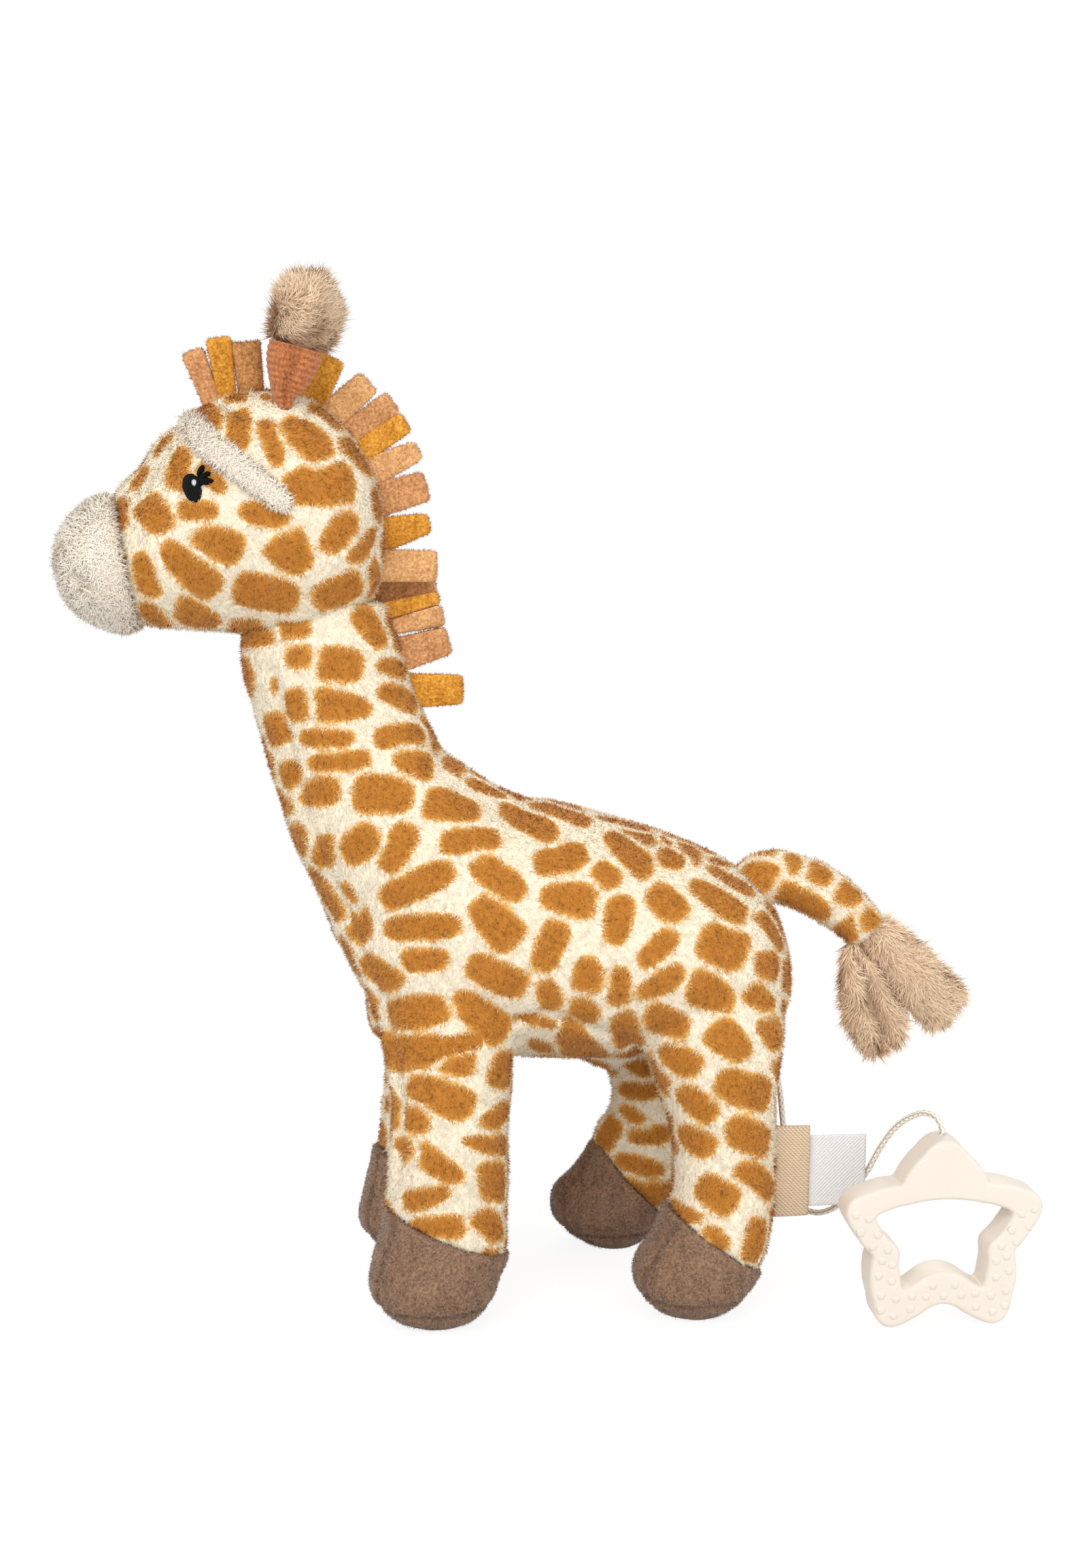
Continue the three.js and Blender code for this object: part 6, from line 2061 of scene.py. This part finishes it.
@dataclass
class PullStar:
    """The silicone star: rounded arms, an open middle, and nubs in rows on four arms."""

    radius: float = 29.8
    thickness: float = 11.4
    at: Colour = (118.84, -45.0, 25.0)
    edge: float = 1.4
    steps: int = 480
    corners: tuple = ((0, 1.103, 0.67), (0.405, 0.544, 0.04), (1.03, 0.412, 0.326),
                      (0.654, -0.087, 0.04), (0.62, -0.891, 0.326), (0, -0.513, 0.205))
    hole: tuple = ((0, 0.525, 0.464), (0.806, 0.315, 0.362), (0.475, -0.07, 0.04),
                   (0.449, -0.59, 0.308), (0, -0.243, 0.425))
    nubs: tuple = (
        (0.873, 0.313), (0.746, 0.27), (0.822, 0.142), (0.655, 0.11), (0.701, -0.003),
        (0.558, -0.042), (0.61, -0.148), (0.511, -0.193), (0.64, -0.296), (0.511, -0.354),
        (0.611, -0.493), (0.467, -0.536), (0.608, -0.638), (0.488, -0.698), (0.31, -0.51),
        (0.322, -0.64), (0.175, -0.52), (0.11, -0.415), (0, -0.52))
    # Reach and height above the face of each ring of a nub, in millimetres, then its two middles
    nub_rings: tuple = ((1.4, -0.2), (1.2, 0.03), (0.95, 0.2), (0.6, 0.31), (0.28, 0.35))
    nub_ends: tuple = (-0.6, 0.36)
    nub_lobes: tuple = (5, 0.09)

    def outline(self, half: Sequence[Colour], outward: float) -> tuple[np.ndarray, np.ndarray]:
        """A closed outline from the corners of its right half.

        Args:
            half: across, up and rounding of each corner, as shares of the radius.
            outward: 1 where the material lies inside it, -1 where it lies outside.

        Returns:
            Its points by turn, and the direction that leaves the material at each.
        """
        left = [(-x, y, r) for x, y, r in half]
        whole = np.array(left + list(half[1:-1])[::-1]) * self.radius
        points = []
        for i, (x, y, bend) in enumerate(whole):
            corner = np.array([x, y])
            before, after = whole[i - 1, :2] - corner, whole[(i + 1) % len(whole), :2] - corner
            trim = min(bend, 0.48 * np.linalg.norm(before), 0.48 * np.linalg.norm(after))
            start, end = corner + unit(before) * trim, corner + unit(after) * trim
            points += [(1 - s) ** 2 * start + 2 * s * (1 - s) * corner + s ** 2 * end
                       for s in np.linspace(0, 1, 25)]
        points = np.array(points)
        fine = 2 * np.pi * np.arange(self.steps) / self.steps
        reach = np.interp(fine, np.arctan2(points[:, 1], points[:, 0]),
                          np.linalg.norm(points, axis=1), period=2 * np.pi)
        for _ in range(6):
            reach = reach * 0.5 + (np.roll(reach, 1) + np.roll(reach, -1)) * 0.25
        line = np.stack([np.cos(fine), np.sin(fine)], 1) * reach[:, None]
        step = np.roll(line, -1, axis=0) - np.roll(line, 1, axis=0)
        away = unit(np.stack([step[:, 1], -step[:, 0]], 1)) * outward
        for _ in range(5):
            away = unit(away * 2 + np.roll(away, 1, axis=0) + np.roll(away, -1, axis=0))
        return line, away

    def build(self) -> None:
        """Makes the star and its nubs."""
        half, profile = self.thickness / 2, []
        for face in (-1, 1):
            quarter = [(math.sin(q) - 1, math.cos(q)) for q in np.linspace(0, math.pi / 2, 7)]
            rows = [(self.edge * (1 + push), face * (half - self.edge * (1 - deep)))
                    for push, deep in [(-1.6, 1)] + quarter]
            profile += rows if face < 0 else rows[::-1]
        outer, away = self.outline(self.corners, 1.0)
        inner, into = self.outline(self.hole, -1.0)
        rings = [(outer + away * push, deep) for push, deep in profile]
        rings += [(inner + into * push, deep) for push, deep in profile[::-1]]
        grid = [np.stack([self.at[0] + flat[:, 0], np.full(self.steps, self.at[1] + deep),
                          self.at[2] + flat[:, 1]], 1) for flat, deep in rings]
        points, faces = list(np.concatenate(grid)), []
        for i in range(len(grid)):
            a, b = i * self.steps, (i + 1) % len(grid) * self.steps
            for k in range(self.steps):
                after = (k + 1) % self.steps
                faces.append([a + k, a + after, b + after, b + k])
        for x, y in self.nubs:
            for hand in ((-1, 1) if x else (1,)):
                for face in (-1, 1):
                    self.nub(hand * x * self.radius, y * self.radius, face, points, faces)
        piece = mesh_piece("star_moulding", in_frame(np.array(points)), faces, SILICONE)
        dressed(piece, "star_silicone", "pull_star", body="pull_handle")

    def nub(self, x: float, z: float, face: int, points: list, faces: list) -> None:
        """Adds a low rounded nub with five lobes on one face.

        Args:
            x: millimetres across from the star's middle.
            z: millimetres up from it.
            face: -1 towards -Y, 1 towards +Y.
            points: vertices, added to.
            faces: faces, added to.
        """
        first, around = len(points), 20
        lobes, swell = self.nub_lobes
        places = [(reach * (1 + swell * math.cos(lobes * q)), rise, q)
                  for reach, rise in self.nub_rings
                  for q in 2 * np.pi * np.arange(around) / around]
        places += [(0.0, rise, 0.0) for rise in self.nub_ends]
        for r, rise, q in places:
            points.append(np.array(self.at) + [x + r * math.sin(q), face * (
                self.thickness / 2 + rise), z + r * math.cos(q)])
        faces += [[first + i for i in quad] for quad in tube_faces(len(self.nub_rings), around)]


@dataclass
class Movement:
    """The sealed movement: carried-over solids with their finishes."""

    finishes: dict = field(default_factory=lambda: {
        "case_base": CASE, "case_cover": CASE, "case_screw_1": STEEL, "case_screw_2": STEEL,
        "bedplate": BRASS, "comb": STEEL, "comb_screw_1": STEEL, "comb_screw_2": STEEL,
        "cord_spool": NYLON, "cord_winding": WINDING, "mainspring": STEEL, "drive_gear": BRASS,
        "click_leaf": STEEL, "pin_drum": BRASS, "governor_fan": NYLON})

    def dress(self) -> None:
        """Gives each solid its finish."""
        for name, finish in self.finishes.items():
            repaint(frame["nodes"][name], finish)


# ---- the studio


@dataclass
class Studio:
    """A pale floor, a white world and soft lamps."""

    sky: float = 0.72

    def seen(self, sheet: Shading) -> Wire:
        """One where a camera, glossy or transmission ray looks, zero for other light."""
        parts = [sheet.add("ShaderNodeLightPath", {}, {}, name) for name in (
            "Is Camera Ray", "Is Glossy Ray", "Is Transmission Ray")]
        return parts[0].most(parts[1]).most(parts[2])

    def build(self) -> None:
        """Adds the floor, the world and the lamps."""
        floor = mesh_piece("floor", [(-4, -4, 0), (4, -4, 0), (4, 4, 0), (-4, 4, 0)],
                           [[0, 1, 2, 3]], MouldedPlastic("floor base", (0.95, 0.95, 0.95)))
        sheet = Shading("pale floor")
        dull = sheet.add("ShaderNodeBsdfDiffuse", {}, {"Color": (0.86, 0.86, 0.86, 1)})
        glow = sheet.add("ShaderNodeEmission", {}, {"Color": (1, 1, 1, 1), "Strength": 1.08})
        lit = sheet.add("ShaderNodeMixShader", {}, {0: 0.18, 1: glow, 2: dull})
        whole = sheet.add("ShaderNodeMixShader", {}, {0: self.seen(sheet), 1: dull, 2: lit})
        sheet.tree.links.new(whole.socket, sheet.out.inputs["Surface"])
        floor.data.materials[0] = sheet.material
        sky = Shading("studio", world=True)
        bpy.context.scene.world = sky.material
        ground = sky.add("ShaderNodeBackground", {}, {
            "Color": (1, 1, 1, 1), "Strength": self.seen(sky) * (1.0 - self.sky) + self.sky})
        sky.tree.links.new(ground.socket, sky.out.inputs["Surface"])
        for name, place, size, power in (("key", (-0.55, -1.0, 1.0), 0.9, 11.0),
                                         ("fill", (0.9, -0.9, 0.55), 0.9, 5.0),
                                         ("back", (0.2, 1.1, 0.9), 0.9, 5.0)):
            lamp = linked(name, bpy.data.lights.new(name, "AREA"))
            lamp.data.size, lamp.data.energy = size, power
            lamp.location = place
            aim = Vector((0, 0, 0.15)) - Vector(place)
            lamp.rotation_euler = aim.to_track_quat("-Z", "Y").to_euler()
        bpy.context.scene.view_settings.view_transform = "Standard"


def main() -> None:
    """Builds the camera and cord first, then the toy piece by piece, then the studio."""
    logging.basicConfig(level=logging.INFO, format="%(message)s")
    view = PhotoView()
    view.build()
    PullCord().build()
    body, head, tail = Body(view), Head(view), Tail()
    skins = [body.build(), head.build(), tail.build()]
    log.info("skins: %s", [len(skin.mesh.vertices) for skin in skins])
    spots = SpotPrint(view)
    spots.place(skins)
    for skin in skins:
        spots.apply(skin)
    body.dress()
    head.dress()
    head.muzzle()
    head.brows()
    head.eyes()
    tail.dress(view)
    Hooves().build()
    Horns().build()
    Mane().build()
    Labels().build()
    PullStar().build()
    Movement().dress()
    Studio().build()


if __name__ == "__main__":
    main()
